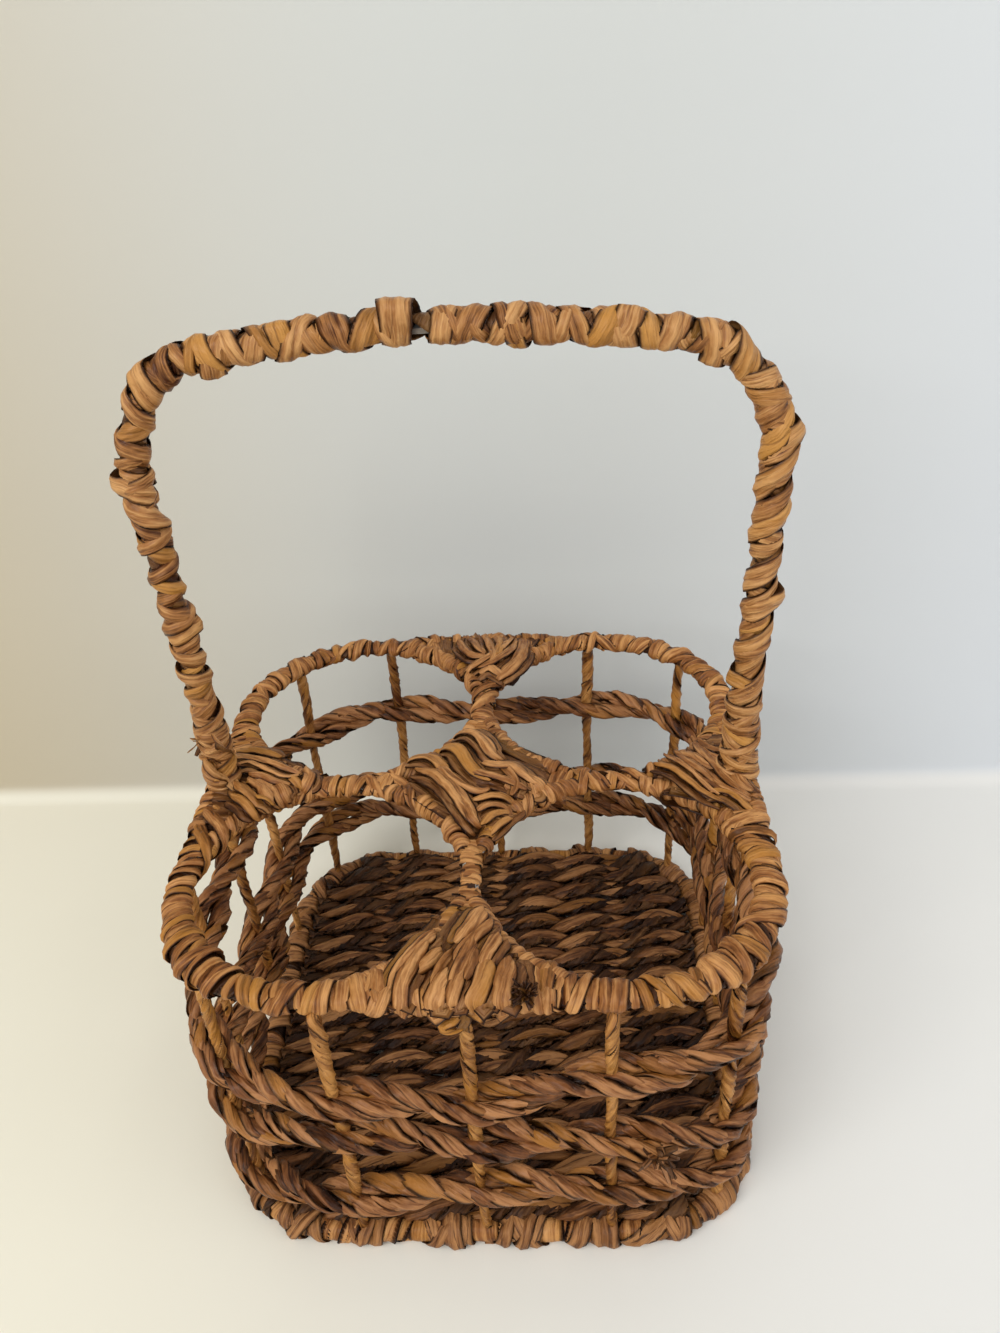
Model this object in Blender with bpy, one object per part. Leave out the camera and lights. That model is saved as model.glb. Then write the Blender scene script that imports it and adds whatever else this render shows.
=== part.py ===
"""Wine bottle basket for four bottles: a wire frame bound and woven with leaf.

Units are metres and +Z is up. The origin is the middle of the footprint, on the
table. The front of the basket faces -Y, and the handle spans the basket along X.
"""

import math

import bmesh
import bpy
from mathutils import Vector

# Wires of the frame
RIM_WIRE_RADIUS = 0.0015
RING_WIRE_RADIUS = 0.0015
BASE_WIRE_RADIUS = 0.0015
HANDLE_WIRE_RADIUS = 0.0025

# Top rim, with one round ring for each bottle inside it
RIM_HALF = 0.1180
RIM_HEIGHT = 0.1600

# Base rim
BASE_HALF = 0.1145
BASE_CORNER_RADIUS = 0.0500

# Leaf binding over the wires
RIM_BINDING = 0.0034
BAR_BINDING = 0.0022
BASE_BINDING = 0.0034
HANDLE_BINDING = 0.0040
BASE_SLIT = 0.0006

# Woven webs that fill the places between the rings
WEB_EDGE_ROUNDING = 0.0018

# Handle
HANDLE_HEIGHT = 0.3600
HANDLE_SPREAD = 0.0038
HANDLE_SHOULDER_DROP = 0.0520
HANDLE_SHOULDER_WIDTH = 0.0360
HANDLE_CROWN = 0.0060
LASHING_HEIGHT = 0.0240
LASHING_FOOT = 0.0048
LASHING_TOP = 0.0016
LASHING_BULGE_SHARE = 1 / 3

# Side stakes
STAKE_RADIUS = 0.0028
STAKE_SPACING = 0.0530
SIDE_STAKES = 3

# Rope rows twined round the stakes, as a share of the rim height at each stake,
# from the front left corner anticlockwise
STRAND_RADIUS = 0.0029
ROW_LEVEL_SHARES = (
    (0.20, 0.21, 0.25, 0.27, 0.21, 0.24, 0.27, 0.28,
     0.29, 0.30, 0.30, 0.30, 0.29, 0.27, 0.25, 0.22),
    (0.46, 0.50, 0.46, 0.48, 0.39, 0.40, 0.42, 0.42,
     0.42, 0.42, 0.42, 0.42, 0.42, 0.41, 0.42, 0.44),
    (0.66, 0.64, 0.62, 0.73, 0.72, 0.74, 0.76, 0.75,
     0.74, 0.74, 0.72, 0.74, 0.71, 0.74, 0.76, 0.77),
)

# Woven floor
WARP_RADIUS = 0.00175
WARP_SPACING = 0.0330
WARP_HEIGHT = 0.0070
WEFT_WIDTH = 0.0110
WEFT_THICKNESS = 0.0044
WEFT_PITCH = 0.0130

# Clearance between pieces that touch
GAP = 0.0003
# How far a cutter runs past the piece that it cuts
OVERRUN = 0.0040

# Facets
WIRE_SIDES = 6
BINDING_SIDES = 8
STRAND_SIDES = 5
STAKE_SIDES = 8
CORNER_STEPS = 8
SHOULDER_STEPS = 6
CROWN_STEPS = 8
WEB_EDGE_STEPS = 6
STEPS_PER_STAKE = 6

# Where the bindings end, in facets of a ring counted from its nearest point to
# the next ring and to the rim
BAR_FACETS = 2
CORNER_RUN_FACETS = 3

# Sizes worked out from the ones above
SIDES = 4
RING_STEPS = CORNER_STEPS * SIDES
RING_FACET = math.tau / RING_STEPS
PAIR_SPACING = RIM_WIRE_RADIUS + RING_WIRE_RADIUS + GAP
RING_SPACING = RING_WIRE_RADIUS * 2 + GAP
RING_OUTER = RIM_HALF - PAIR_SPACING
RING_RADIUS = (RING_OUTER - RING_SPACING / 2) / 2
CELL_CENTRE = (RING_OUTER + RING_SPACING / 2) / 2
RIM_CORNER_RADIUS = RIM_HALF - CELL_CENTRE
BAR_REACH = RING_RADIUS * math.sin(BAR_FACETS * RING_FACET)
CORNER_RUN = RING_RADIUS * math.sin(CORNER_RUN_FACETS * RING_FACET)
WEB_REACH = CELL_CENTRE - CORNER_RUN
RIM_BORE = max(RIM_WIRE_RADIUS, RING_WIRE_RADIUS) + GAP
RIM_OUTER = RIM_BORE + RIM_BINDING
BAR_OUTER = RIM_BORE + BAR_BINDING
BASE_BORE = BASE_WIRE_RADIUS + GAP
BASE_OUTER = BASE_BORE + BASE_BINDING
BASE_HEIGHT = BASE_OUTER
HANDLE_BORE = HANDLE_WIRE_RADIUS + GAP
HANDLE_OUTER = HANDLE_BORE + HANDLE_BINDING
HANDLE_FOOT_HALF = RIM_HALF - RIM_WIRE_RADIUS - GAP - HANDLE_WIRE_RADIUS
HANDLE_SHOULDER_HALF = HANDLE_FOOT_HALF + HANDLE_SPREAD
HANDLE_SHOULDER_HEIGHT = HANDLE_HEIGHT - HANDLE_SHOULDER_DROP
WEB_TOP = RIM_HEIGHT + RIM_OUTER
WEB_BOTTOM = RIM_HEIGHT - RIM_OUTER
BINDING_FOOT = WEB_TOP + GAP
LASHING_BORE = HANDLE_OUTER + GAP
STAKES_PER_SIDE = SIDE_STAKES + 1
STAKE_COUNT = STAKES_PER_SIDE * SIDES
STAKE_FOOT = BASE_HEIGHT + BASE_OUTER + GAP
STAKE_TOP = WEB_BOTTOM - GAP
TWINE_SWING = STAKE_RADIUS + GAP + STRAND_RADIUS
TWINE_LIFT = STRAND_RADIUS + GAP
FLOOR_HALF = BASE_HALF - BASE_OUTER - GAP
FLOOR_CORNER_RADIUS = BASE_CORNER_RADIUS - BASE_OUTER - GAP
WEFT_SWING = WARP_RADIUS + GAP + WEFT_THICKNESS / 2
WEFT_EDGE = WEFT_WIDTH / 2
WEFT_TURN = WEFT_PITCH / 2
WEFT_COUNT = math.floor(2 * (FLOOR_HALF - WEFT_EDGE) / WEFT_PITCH) + 1
WARP_COUNT = math.floor(2 * (FLOOR_HALF - WEFT_TURN - WEFT_WIDTH) / WARP_SPACING) + 1

UP = Vector((0, 0, 1))
BACK = Vector((0, 1, 0))

# Corners and sides, anticlockwise from the front
CORNERS = (
    ("front_left", -1, -1),
    ("front_right", 1, -1),
    ("back_right", 1, 1),
    ("back_left", -1, 1),
)
SIDE_NAMES = ("front", "right", "back", "left")


def make_material(name, colour, roughness, metallic=0.0):
    """Return a Principled material."""
    material = bpy.data.materials.new(name)
    material.use_nodes = True
    shader = material.node_tree.nodes["Principled BSDF"]
    shader.inputs["Base Color"].default_value = (*colour, 1.0)
    shader.inputs["Roughness"].default_value = roughness
    shader.inputs["Metallic"].default_value = metallic
    material.diffuse_color = (*colour, 1.0)
    return material


def add_piece(name, points, faces, material, parent):
    """Add one closed mesh as a named object with its own material."""
    mesh = bpy.data.meshes.new(name)
    mesh.from_pydata([tuple(point) for point in points], [], faces)
    solid = bmesh.new()
    solid.from_mesh(mesh)
    bmesh.ops.recalc_face_normals(solid, faces=solid.faces)
    solid.to_mesh(mesh)
    solid.free()
    mesh.shade_smooth()
    mesh.set_sharp_from_angle(angle=math.radians(50))
    mesh.materials.append(material)
    piece = bpy.data.objects.new(name, mesh)
    piece.parent = parent
    bpy.context.scene.collection.objects.link(piece)
    return piece


def add_cutter(name, points, faces, material, parent):
    """Add a closed mesh that only cuts other pieces."""
    cutter = add_piece(name, points, faces, material, parent)
    cutter.hide_render = True
    cutter.display_type = "WIRE"
    return cutter


def cut(piece, cutter):
    """Cut one piece with another by a Boolean difference."""
    boolean = piece.modifiers.new(cutter.name, "BOOLEAN")
    boolean.operation = "DIFFERENCE"
    boolean.solver = "EXACT"
    boolean.object = cutter


def round_section(radius, sides, start_turn=0.5):
    """Return a regular polygon, with a flat side below for a half step's turn."""
    step = math.tau / sides
    return [
        (radius * math.cos(step * (index + start_turn)), radius * math.sin(step * (index + start_turn)))
        for index in range(sides)
    ]


def around(radius, sides):
    """Return the corner radius of a polygon whose flat sides lie at this radius."""
    return radius / math.cos(math.pi / sides)


def tangent_at(path, index, closed):
    """Return the direction of a path at one of its points."""
    last = len(path) - 1
    before = path[index - 1] if closed or index > 0 else path[0]
    after = path[(index + 1) % len(path)] if closed or index < last else path[last]
    return (after - before).normalized()


def section_ring(centre, tangent, upright, section):
    """Place a flat section across a path, its second axis towards upright."""
    side = tangent.cross(upright).normalized()
    lift = side.cross(tangent).normalized()
    return [centre + side * across + lift * height for across, height in section]


def path_rings(path, sections, upright, closed):
    """Place a section on each point of a path."""
    rings = []
    for index, centre in enumerate(path):
        tangent = tangent_at(path, index, closed)
        rings.append(section_ring(centre, tangent, upright, sections[index]))
    return rings


def skin(rings, closed):
    """Join rings of points into a closed solid, with capped ends if it is open."""
    count = len(rings[0])
    points = [point for ring in rings for point in ring]
    faces = []
    for index in range(len(rings) if closed else len(rings) - 1):
        here = index * count
        there = ((index + 1) % len(rings)) * count
        for corner in range(count):
            after = (corner + 1) % count
            faces.append((here + corner, here + after, there + after, there + corner))
    if not closed:
        last = (len(rings) - 1) * count
        faces.append(tuple(reversed(range(count))))
        faces.append(tuple(range(last, last + count)))
    return points, faces


def sleeve_skin(outer_rings, inner_rings):
    """Join an outer and an inner skin into an open ended sleeve."""
    count = len(outer_rings[0])
    points = [point for ring in outer_rings + inner_rings for point in ring]
    bore = len(outer_rings) * count
    faces = []
    for index in range(len(outer_rings) - 1):
        here = index * count
        there = here + count
        for corner in range(count):
            after = (corner + 1) % count
            faces.append((here + corner, here + after, there + after, there + corner))
            faces.append((bore + here + after, bore + here + corner, bore + there + corner, bore + there + after))
    for end in (0, (len(outer_rings) - 1) * count):
        for corner in range(count):
            after = (corner + 1) % count
            faces.append((end + corner, end + after, bore + end + after, bore + end + corner))
    return points, faces


def tube(path, radius, sides, upright, closed):
    """Return a solid round bar along a path."""
    section = round_section(radius, sides)
    return skin(path_rings(path, [section] * len(path), upright, closed), closed)


def sleeve(path, outer_radii, bore, sides, upright):
    """Return a hollow binding along an open path."""
    outer = [round_section(around(radius, sides), sides) for radius in outer_radii]
    inner = [round_section(around(bore, sides), sides)] * len(path)
    return sleeve_skin(path_rings(path, outer, upright, False), path_rings(path, inner, upright, False))


def rounded_square_point(half, corner, side, along):
    """Return a point and its outward direction on a rounded square.

    side counts the sides anticlockwise from the front, and along is the distance
    from the middle of that side's first corner.
    """
    half_arc = corner * math.pi / 4
    straight = 2 * (half - corner)
    if along < half_arc:
        turn = along / corner - math.pi / 4
        centre = Vector((corner - half, corner - half, 0))
    elif along > half_arc + straight:
        turn = (along - half_arc - straight) / corner
        centre = Vector((half - corner, corner - half, 0))
    else:
        turn = 0.0
        centre = Vector((corner - half + along - half_arc, corner - half, 0))
    outward = Vector((math.sin(turn), -math.cos(turn), 0))
    point = centre + outward * corner
    quarter = side * math.pi / 2
    return turned(point, quarter), turned(outward, quarter)


def turned(vector, angle):
    """Turn a vector about the vertical axis."""
    cosine = math.cos(angle)
    sine = math.sin(angle)
    return Vector((vector.x * cosine - vector.y * sine, vector.x * sine + vector.y * cosine, vector.z))


def stake_distance(half, corner, station):
    """Return the distance along one side of a station, which is a whole number at a stake."""
    length = corner * math.pi / 2 + 2 * (half - corner)
    middle = STAKES_PER_SIDE / 2
    marks = [0.0]
    marks += [length / 2 + (number - middle) * STAKE_SPACING for number in range(1, STAKES_PER_SIDE)]
    marks.append(length)
    first = min(int(station), STAKES_PER_SIDE - 1)
    return marks[first] + (marks[first + 1] - marks[first]) * (station - first)


def wall_point(station, height):
    """Return a point of the basket's wall and its outward direction.

    station counts the stakes anticlockwise from the front left corner.
    """
    rise_share = (height - BASE_HEIGHT) / (RIM_HEIGHT - BASE_HEIGHT)
    half = BASE_HALF + (RIM_HALF - BASE_HALF) * rise_share
    corner = BASE_CORNER_RADIUS + (RIM_CORNER_RADIUS - BASE_CORNER_RADIUS) * rise_share
    side = int(station // STAKES_PER_SIDE)
    along = stake_distance(half, corner, station - side * STAKES_PER_SIDE)
    point, outward = rounded_square_point(half, corner, side, along)
    return point + UP * height, outward


def rounded_square(half, corner, height):
    """Return the points of a rounded square, arcs in steps, anticlockwise."""
    path = []
    for side in range(SIDES):
        centre = turned(Vector((half - corner, corner - half, 0)), side * math.pi / 2)
        for step in range(CORNER_STEPS + 1):
            angle = (side - 1 + step / CORNER_STEPS) * math.pi / 2
            outward = Vector((math.cos(angle), math.sin(angle), 0))
            path.append(centre + outward * corner + UP * height)
        middle = turned(Vector((half, 0, 0)), side * math.pi / 2)
        path.append(middle + UP * height)
    return path


def ring_path(sign_x, sign_y):
    """Return the centre line of one bottle ring."""
    centre = Vector((sign_x * CELL_CENTRE, sign_y * CELL_CENTRE, RIM_HEIGHT))
    return [
        centre + Vector((math.cos(angle), math.sin(angle), 0)) * RING_RADIUS
        for angle in (RING_FACET * step for step in range(RING_STEPS))
    ]


def handle_path(start_height):
    """Return the handle's centre line, from its left foot to its right foot."""
    top_half = HANDLE_SHOULDER_HALF - HANDLE_SHOULDER_WIDTH
    shoulder_top = HANDLE_HEIGHT - HANDLE_CROWN
    lashing_top = BINDING_FOOT + LASHING_HEIGHT
    rising = [(HANDLE_FOOT_HALF, start_height), (HANDLE_FOOT_HALF, lashing_top)]
    rising.append(((HANDLE_FOOT_HALF + HANDLE_SHOULDER_HALF) / 2, (lashing_top + HANDLE_SHOULDER_HEIGHT) / 2))
    for step in range(SHOULDER_STEPS):
        angle = step / SHOULDER_STEPS * math.pi / 2
        x = top_half + HANDLE_SHOULDER_WIDTH * math.cos(angle)
        z = HANDLE_SHOULDER_HEIGHT + (shoulder_top - HANDLE_SHOULDER_HEIGHT) * math.sin(angle)
        rising.append((x, z))
    crown = []
    for step in range(CROWN_STEPS + 1):
        x = top_half * (1 - 2 * step / CROWN_STEPS)
        crown.append((x, HANDLE_HEIGHT - HANDLE_CROWN * (x / top_half) ** 2))
    right = [Vector((x, 0, z)) for x, z in rising]
    over = [Vector((x, 0, z)) for x, z in crown]
    left = [Vector((-x, 0, z)) for x, z in reversed(rising)]
    return right + over + left


def pair_rings(pairs, radius, sides):
    """Return stadium sections round two wires that run side by side.

    Each pair holds two points and the skew of each wire across the section.
    """
    rings = []
    half_sides = sides // 2
    for near, far, near_skew, far_skew in pairs:
        across = (far - near).normalized()
        ring = []
        for centre, skew, start in ((far, far_skew, -math.pi / 2), (near, near_skew, math.pi / 2)):
            width = radius / math.cos(skew)
            for step in range(half_sides):
                angle = start + math.pi * step / (half_sides - 1)
                ring.append(centre + across * (width * math.cos(angle)) + UP * (radius * math.sin(angle)))
        rings.append(ring)
    return rings


def pair_sleeve(pairs, outer):
    """Return the binding that holds two neighbouring wires together."""
    sides = BINDING_SIDES + 2
    bore = RIM_BORE / math.cos(math.pi / BINDING_SIDES)
    return sleeve_skin(pair_rings(pairs, outer, sides), pair_rings(pairs, bore, sides))


def corner_pairs(sign_x, sign_y):
    """Return matching points of a ring and the rim round one corner."""
    pairs = []
    for facet in range(-CORNER_RUN_FACETS, CORNER_STEPS + CORNER_RUN_FACETS + 1):
        cosine = math.cos(facet * RING_FACET)
        sine = math.sin(facet * RING_FACET)
        near = (CELL_CENTRE + RING_RADIUS * cosine, CELL_CENTRE + RING_RADIUS * sine)
        skew = 0.0
        if facet < 0:
            far = (RIM_HALF, near[1])
            skew = facet * RING_FACET
        elif facet > CORNER_STEPS:
            far = (near[0], RIM_HALF)
            skew = (facet - CORNER_STEPS) * RING_FACET
        else:
            far = (CELL_CENTRE + RIM_CORNER_RADIUS * cosine, CELL_CENTRE + RIM_CORNER_RADIUS * sine)
        near, far = [Vector((sign_x * x, sign_y * y, RIM_HEIGHT)) for x, y in (near, far)]
        pairs.append((near, far, skew, 0.0))
    return pairs


def bar_pairs(side):
    """Return matching points of two rings along the bar between them."""
    pairs = []
    for facet in range(-BAR_FACETS, BAR_FACETS + 1):
        skew = facet * RING_FACET
        x = CELL_CENTRE - RING_RADIUS * math.cos(skew)
        y = RING_RADIUS * math.sin(skew) - CELL_CENTRE
        near, far = [turned(Vector((end, y, RIM_HEIGHT)), side * math.pi / 2) for end in (-x, x)]
        pairs.append((near, far, skew, skew))
    return pairs


def web_edge(start, end, inset):
    """Return points along a ring's inner binding edge, by distance from the centre."""
    radius = RING_RADIUS - RIM_OUTER + inset
    first = math.asin((start - CELL_CENTRE) / radius)
    last = math.asin((end - CELL_CENTRE) / radius)
    edge = []
    for step in range(WEB_EDGE_STEPS + 1):
        angle = first + (last - first) * step / WEB_EDGE_STEPS
        edge.append((CELL_CENTRE - radius * math.cos(angle), CELL_CENTRE + radius * math.sin(angle)))
    return edge


def side_web_outline(inset):
    """Return the front web's outline seen from above."""
    near = CELL_CENTRE + BAR_REACH + GAP
    end = WEB_REACH - GAP
    outer = RIM_HALF + RIM_OUTER - inset
    radius = RING_RADIUS - RIM_OUTER + inset
    far = CELL_CENTRE + math.sqrt(radius ** 2 - (CELL_CENTRE - end) ** 2)
    right = [(x, -y) for x, y in web_edge(near, far, inset)]
    right.append((end, -outer))
    left = [(-x, y) for x, y in reversed(right)]
    return right + left


def middle_web_outline(inset):
    """Return the middle web's outline seen from above."""
    tip = CELL_CENTRE - BAR_REACH - GAP
    radius = RING_RADIUS - RIM_OUTER + inset
    tip_half = CELL_CENTRE - math.sqrt(radius ** 2 - (CELL_CENTRE - tip) ** 2)
    first = math.acos((CELL_CENTRE - tip) / radius)
    last = math.acos((CELL_CENTRE - tip_half) / radius)
    quarter = []
    for step in range(WEB_EDGE_STEPS + 1):
        angle = first + (last - first) * step / WEB_EDGE_STEPS
        quarter.append(Vector((
            CELL_CENTRE - radius * math.cos(angle),
            CELL_CENTRE - radius * math.sin(angle),
            0,
        )))
    outline = []
    for side in range(SIDES):
        outline += [turned(point, side * math.pi / 2)[:2] for point in quarter]
    return outline


def web_solid(outline_of, side):
    """Return a web's plate with rounded edges."""
    levels = (
        (WEB_BOTTOM, WEB_EDGE_ROUNDING),
        (WEB_BOTTOM + WEB_EDGE_ROUNDING, 0.0),
        (WEB_TOP - WEB_EDGE_ROUNDING, 0.0),
        (WEB_TOP, WEB_EDGE_ROUNDING),
    )
    rings = []
    for height, inset in levels:
        rings.append([turned(Vector((x, y, height)), side * math.pi / 2) for x, y in outline_of(inset)])
    return skin(rings, False)


def row_height(row, station):
    """Return a rope row's height, smooth from stake to stake."""
    shares = ROW_LEVEL_SHARES[row]
    first = int(station) % STAKE_COUNT
    ahead = (first + 1) % STAKE_COUNT
    ease = (1 - math.cos(math.pi * (station - int(station)))) / 2
    return RIM_HEIGHT * (shares[first] + (shares[ahead] - shares[first]) * ease)


def strand_path(row, phase):
    """Return one strand of a twined row, inside one stake and outside the next."""
    stations = [step / STEPS_PER_STAKE for step in range(STAKE_COUNT * STEPS_PER_STAKE)]
    middles = [wall_point(station, row_height(row, station)) for station in stations]
    line = [point for point, outward in middles]
    path = []
    for index, (point, outward) in enumerate(middles):
        turn = math.pi * stations[index] + phase
        lift = tangent_at(line, index, True).cross(-outward).normalized()
        path.append(point + outward * (TWINE_SWING * math.cos(turn)) - lift * (TWINE_LIFT * math.sin(turn)))
    return path


def floor_reach(offset):
    """Return how far the floor reaches at a distance from its middle line."""
    straight = FLOOR_HALF - FLOOR_CORNER_RADIUS
    past = abs(offset) - straight
    if past <= 0:
        return FLOOR_HALF
    return straight + math.sqrt(max(FLOOR_CORNER_RADIUS ** 2 - past ** 2, 0))


def rod_places():
    """Return the x positions of the floor's rods."""
    return [(number - (WARP_COUNT - 1) / 2) * WARP_SPACING for number in range(WARP_COUNT)]


def turn_place(y):
    """Return where a weft row turns back, beside a rod and never on it."""
    swept = WEFT_TURN + WEFT_EDGE
    place = floor_reach(abs(y) + WEFT_EDGE) - swept
    for rod in sorted(rod_places(), reverse=True):
        keep_out = WARP_RADIUS + GAP
        if place - WEFT_EDGE / 2 < rod + keep_out and place + swept > rod - keep_out:
            place = rod - keep_out - swept
    return place


def weft_path():
    """Return the floor's weft, one strand that snakes over and under the rods."""
    rows = [(index - (WEFT_COUNT - 1) / 2) * WEFT_PITCH for index in range(WEFT_COUNT)]
    ends = [turn_place(y) for y in rows]

    middle_rod = rod_places()[WARP_COUNT // 2]

    def swing(x, row):
        return WEFT_SWING * math.cos(math.pi * ((x - middle_rod) / WARP_SPACING + row))

    path = []
    for row, y in enumerate(rows):
        direction = 1 if row % 2 == 0 else -1
        start = min(ends[row], ends[row - 1]) if row > 0 else ends[row]
        end = min(ends[row], ends[row + 1]) if row < WEFT_COUNT - 1 else ends[row]
        half_step = WARP_SPACING / 2
        low, high = (-start, end) if direction > 0 else (-end, start)
        marks = [step * half_step for step in range(-2 * WARP_COUNT, 2 * WARP_COUNT + 1)]
        inner = [x for x in marks if low + WEFT_EDGE < x < high - WEFT_EDGE]
        for x in sorted([low, high] + inner, reverse=direction < 0):
            path.append(Vector((x, y, WARP_HEIGHT + swing(x, row))))
        if row == WEFT_COUNT - 1:
            break
        turn_x = direction * end
        for quarter in (1, 2, 3):
            angle = quarter * math.pi / 4
            x = turn_x + direction * WEFT_TURN * math.sin(angle)
            middle = y + WEFT_TURN - WEFT_TURN * math.cos(angle)
            lift = swing(turn_x, row) * (1 - quarter / 2)
            path.append(Vector((x, middle, WARP_HEIGHT + lift)))
    return path


def build_frame(steel, parent):
    """Wires of the rim, the rings, the base and the handle, with the floor's rods."""
    rim = rounded_square(RIM_HALF, RIM_CORNER_RADIUS, RIM_HEIGHT)
    add_piece("rim_wire", *tube(rim, RIM_WIRE_RADIUS, WIRE_SIDES, UP, True), steel, parent)
    for name, sign_x, sign_y in CORNERS:
        path = ring_path(sign_x, sign_y)
        add_piece("ring_wire_" + name, *tube(path, RING_WIRE_RADIUS, WIRE_SIDES, UP, True), steel, parent)
    base = rounded_square(BASE_HALF, BASE_CORNER_RADIUS, BASE_HEIGHT)
    add_piece("base_wire", *tube(base, BASE_WIRE_RADIUS, WIRE_SIDES, UP, True), steel, parent)
    handle = handle_path(WEB_BOTTOM)
    add_piece("handle_wire", *tube(handle, HANDLE_WIRE_RADIUS, WIRE_SIDES, BACK, False), steel, parent)


def build_rim_bindings(leaf, parent):
    """Leaf bindings round the rim and the rings, at the corners and the bars."""
    for name, sign_x, sign_y in CORNERS:
        add_piece("rim_binding_" + name, *pair_sleeve(corner_pairs(sign_x, sign_y), RIM_OUTER), leaf, parent)
    for side, name in enumerate(SIDE_NAMES):
        add_piece("bar_binding_" + name, *pair_sleeve(bar_pairs(side), BAR_OUTER), leaf, parent)


def build_webs(leaf, steel, parent):
    """Woven webs between the rings, each with a tunnel for every wire in it."""
    sides = WIRE_SIDES
    rim = rounded_square(RIM_HALF, RIM_CORNER_RADIUS, RIM_HEIGHT)
    bore = around(RIM_BORE, sides)
    rim_cutter = add_cutter("rim_tunnel", *tube(rim, bore, sides, UP, True), steel, parent)
    ring_cutters = {}
    for name, sign_x, sign_y in CORNERS:
        path = ring_path(sign_x, sign_y)
        ring_cutters[name] = add_cutter("ring_tunnel_" + name, *tube(path, bore, sides, UP, True), steel, parent)
    handle_cutters = {}
    for name, sign in (("left", -1), ("right", 1)):
        ends = (WEB_BOTTOM - OVERRUN, WEB_TOP + OVERRUN)
        path = [Vector((sign * HANDLE_FOOT_HALF, 0, height)) for height in ends]
        shape = tube(path, around(HANDLE_BORE, sides), sides, BACK, False)
        handle_cutters[name] = add_cutter("handle_tunnel_" + name, *shape, steel, parent)

    middle = add_piece("web_middle", *web_solid(middle_web_outline, 0), leaf, parent)
    for cutter in ring_cutters.values():
        cut(middle, cutter)
    for side, name in enumerate(SIDE_NAMES):
        web = add_piece("web_" + name, *web_solid(side_web_outline, side), leaf, parent)
        cut(web, rim_cutter)
        for ring_name, cutter in ring_cutters.items():
            if name in ring_name:
                cut(web, cutter)
        if name in handle_cutters:
            cut(web, handle_cutters[name])


def build_handle(leaf, parent):
    """Leaf binding of the handle, and the lashings at its feet."""
    path = handle_path(BINDING_FOOT)
    shape = sleeve(path, [HANDLE_OUTER] * len(path), HANDLE_BORE, BINDING_SIDES, BACK)
    add_piece("handle_binding", *shape, leaf, parent)
    for name, sign in (("left", -1), ("right", 1)):
        rises = [0, LASHING_HEIGHT * LASHING_BULGE_SHARE, LASHING_HEIGHT]
        middle_wall = (LASHING_FOOT + LASHING_TOP) / 2
        walls = [LASHING_FOOT, middle_wall, LASHING_TOP]
        path = [Vector((sign * HANDLE_FOOT_HALF, 0, BINDING_FOOT + rise)) for rise in rises]
        radii = [LASHING_BORE + wall for wall in walls]
        shape = sleeve(path, radii, LASHING_BORE, BINDING_SIDES, BACK)
        add_piece("handle_lashing_" + name, *shape, leaf, parent)


def build_stakes(leaf, parent):
    """Leaf bound stakes between the base rim and the top rim."""
    for number in range(STAKE_COUNT):
        heights = (STAKE_FOOT, (STAKE_FOOT + STAKE_TOP) / 2, STAKE_TOP)
        rings = []
        for height in heights:
            centre, outward = wall_point(number, height)
            side = outward.cross(UP)
            section = round_section(STAKE_RADIUS, STAKE_SIDES)
            rings.append([centre + outward * across + side * along for across, along in section])
        add_piece("stake_%02d" % (number + 1), *skin(rings, False), leaf, parent)


def build_rows(leaf, parent):
    """Rope rows of two strands each, twined round the stakes."""
    for row in range(len(ROW_LEVEL_SHARES)):
        for name, phase in (("a", 0.0), ("b", math.pi)):
            shape = tube(strand_path(row, phase), STRAND_RADIUS, STRAND_SIDES, UP, True)
            add_piece("row_%d_strand_%s" % (row + 1, name), *shape, leaf, parent)


def build_base(binding_leaf, floor_leaf, parent):
    """Binding of the base rim, the rods of the floor and the weft over them."""
    loop = rounded_square(BASE_HALF, BASE_CORNER_RADIUS, BASE_HEIGHT)
    half_way = len(loop) // 2
    loop = loop[half_way:] + loop[:half_way]
    meeting = loop[-1]
    path = [meeting + (loop[0] - meeting).normalized() * BASE_SLIT] + loop
    shape = sleeve(path, [BASE_OUTER] * len(path), BASE_BORE, BINDING_SIDES, UP)
    add_piece("base_binding", *shape, binding_leaf, parent)
    for number, x in enumerate(rod_places()):
        reach = floor_reach(abs(x) + WARP_RADIUS)
        path = [Vector((x, y, WARP_HEIGHT)) for y in (-reach, reach)]
        shape = tube(path, WARP_RADIUS, STAKE_SIDES, UP, False)
        add_piece("floor_rod_%d" % (number + 1), *shape, floor_leaf, parent)
    path = weft_path()
    half_height = WEFT_THICKNESS / 2
    section = [
        (WEFT_EDGE, -half_height), (WEFT_EDGE, half_height),
        (-WEFT_EDGE, half_height), (-WEFT_EDGE, -half_height),
    ]
    rings = path_rings(path, [section] * len(path), UP, False)
    add_piece("floor_weft", *skin(rings, False), floor_leaf, parent)


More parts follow.
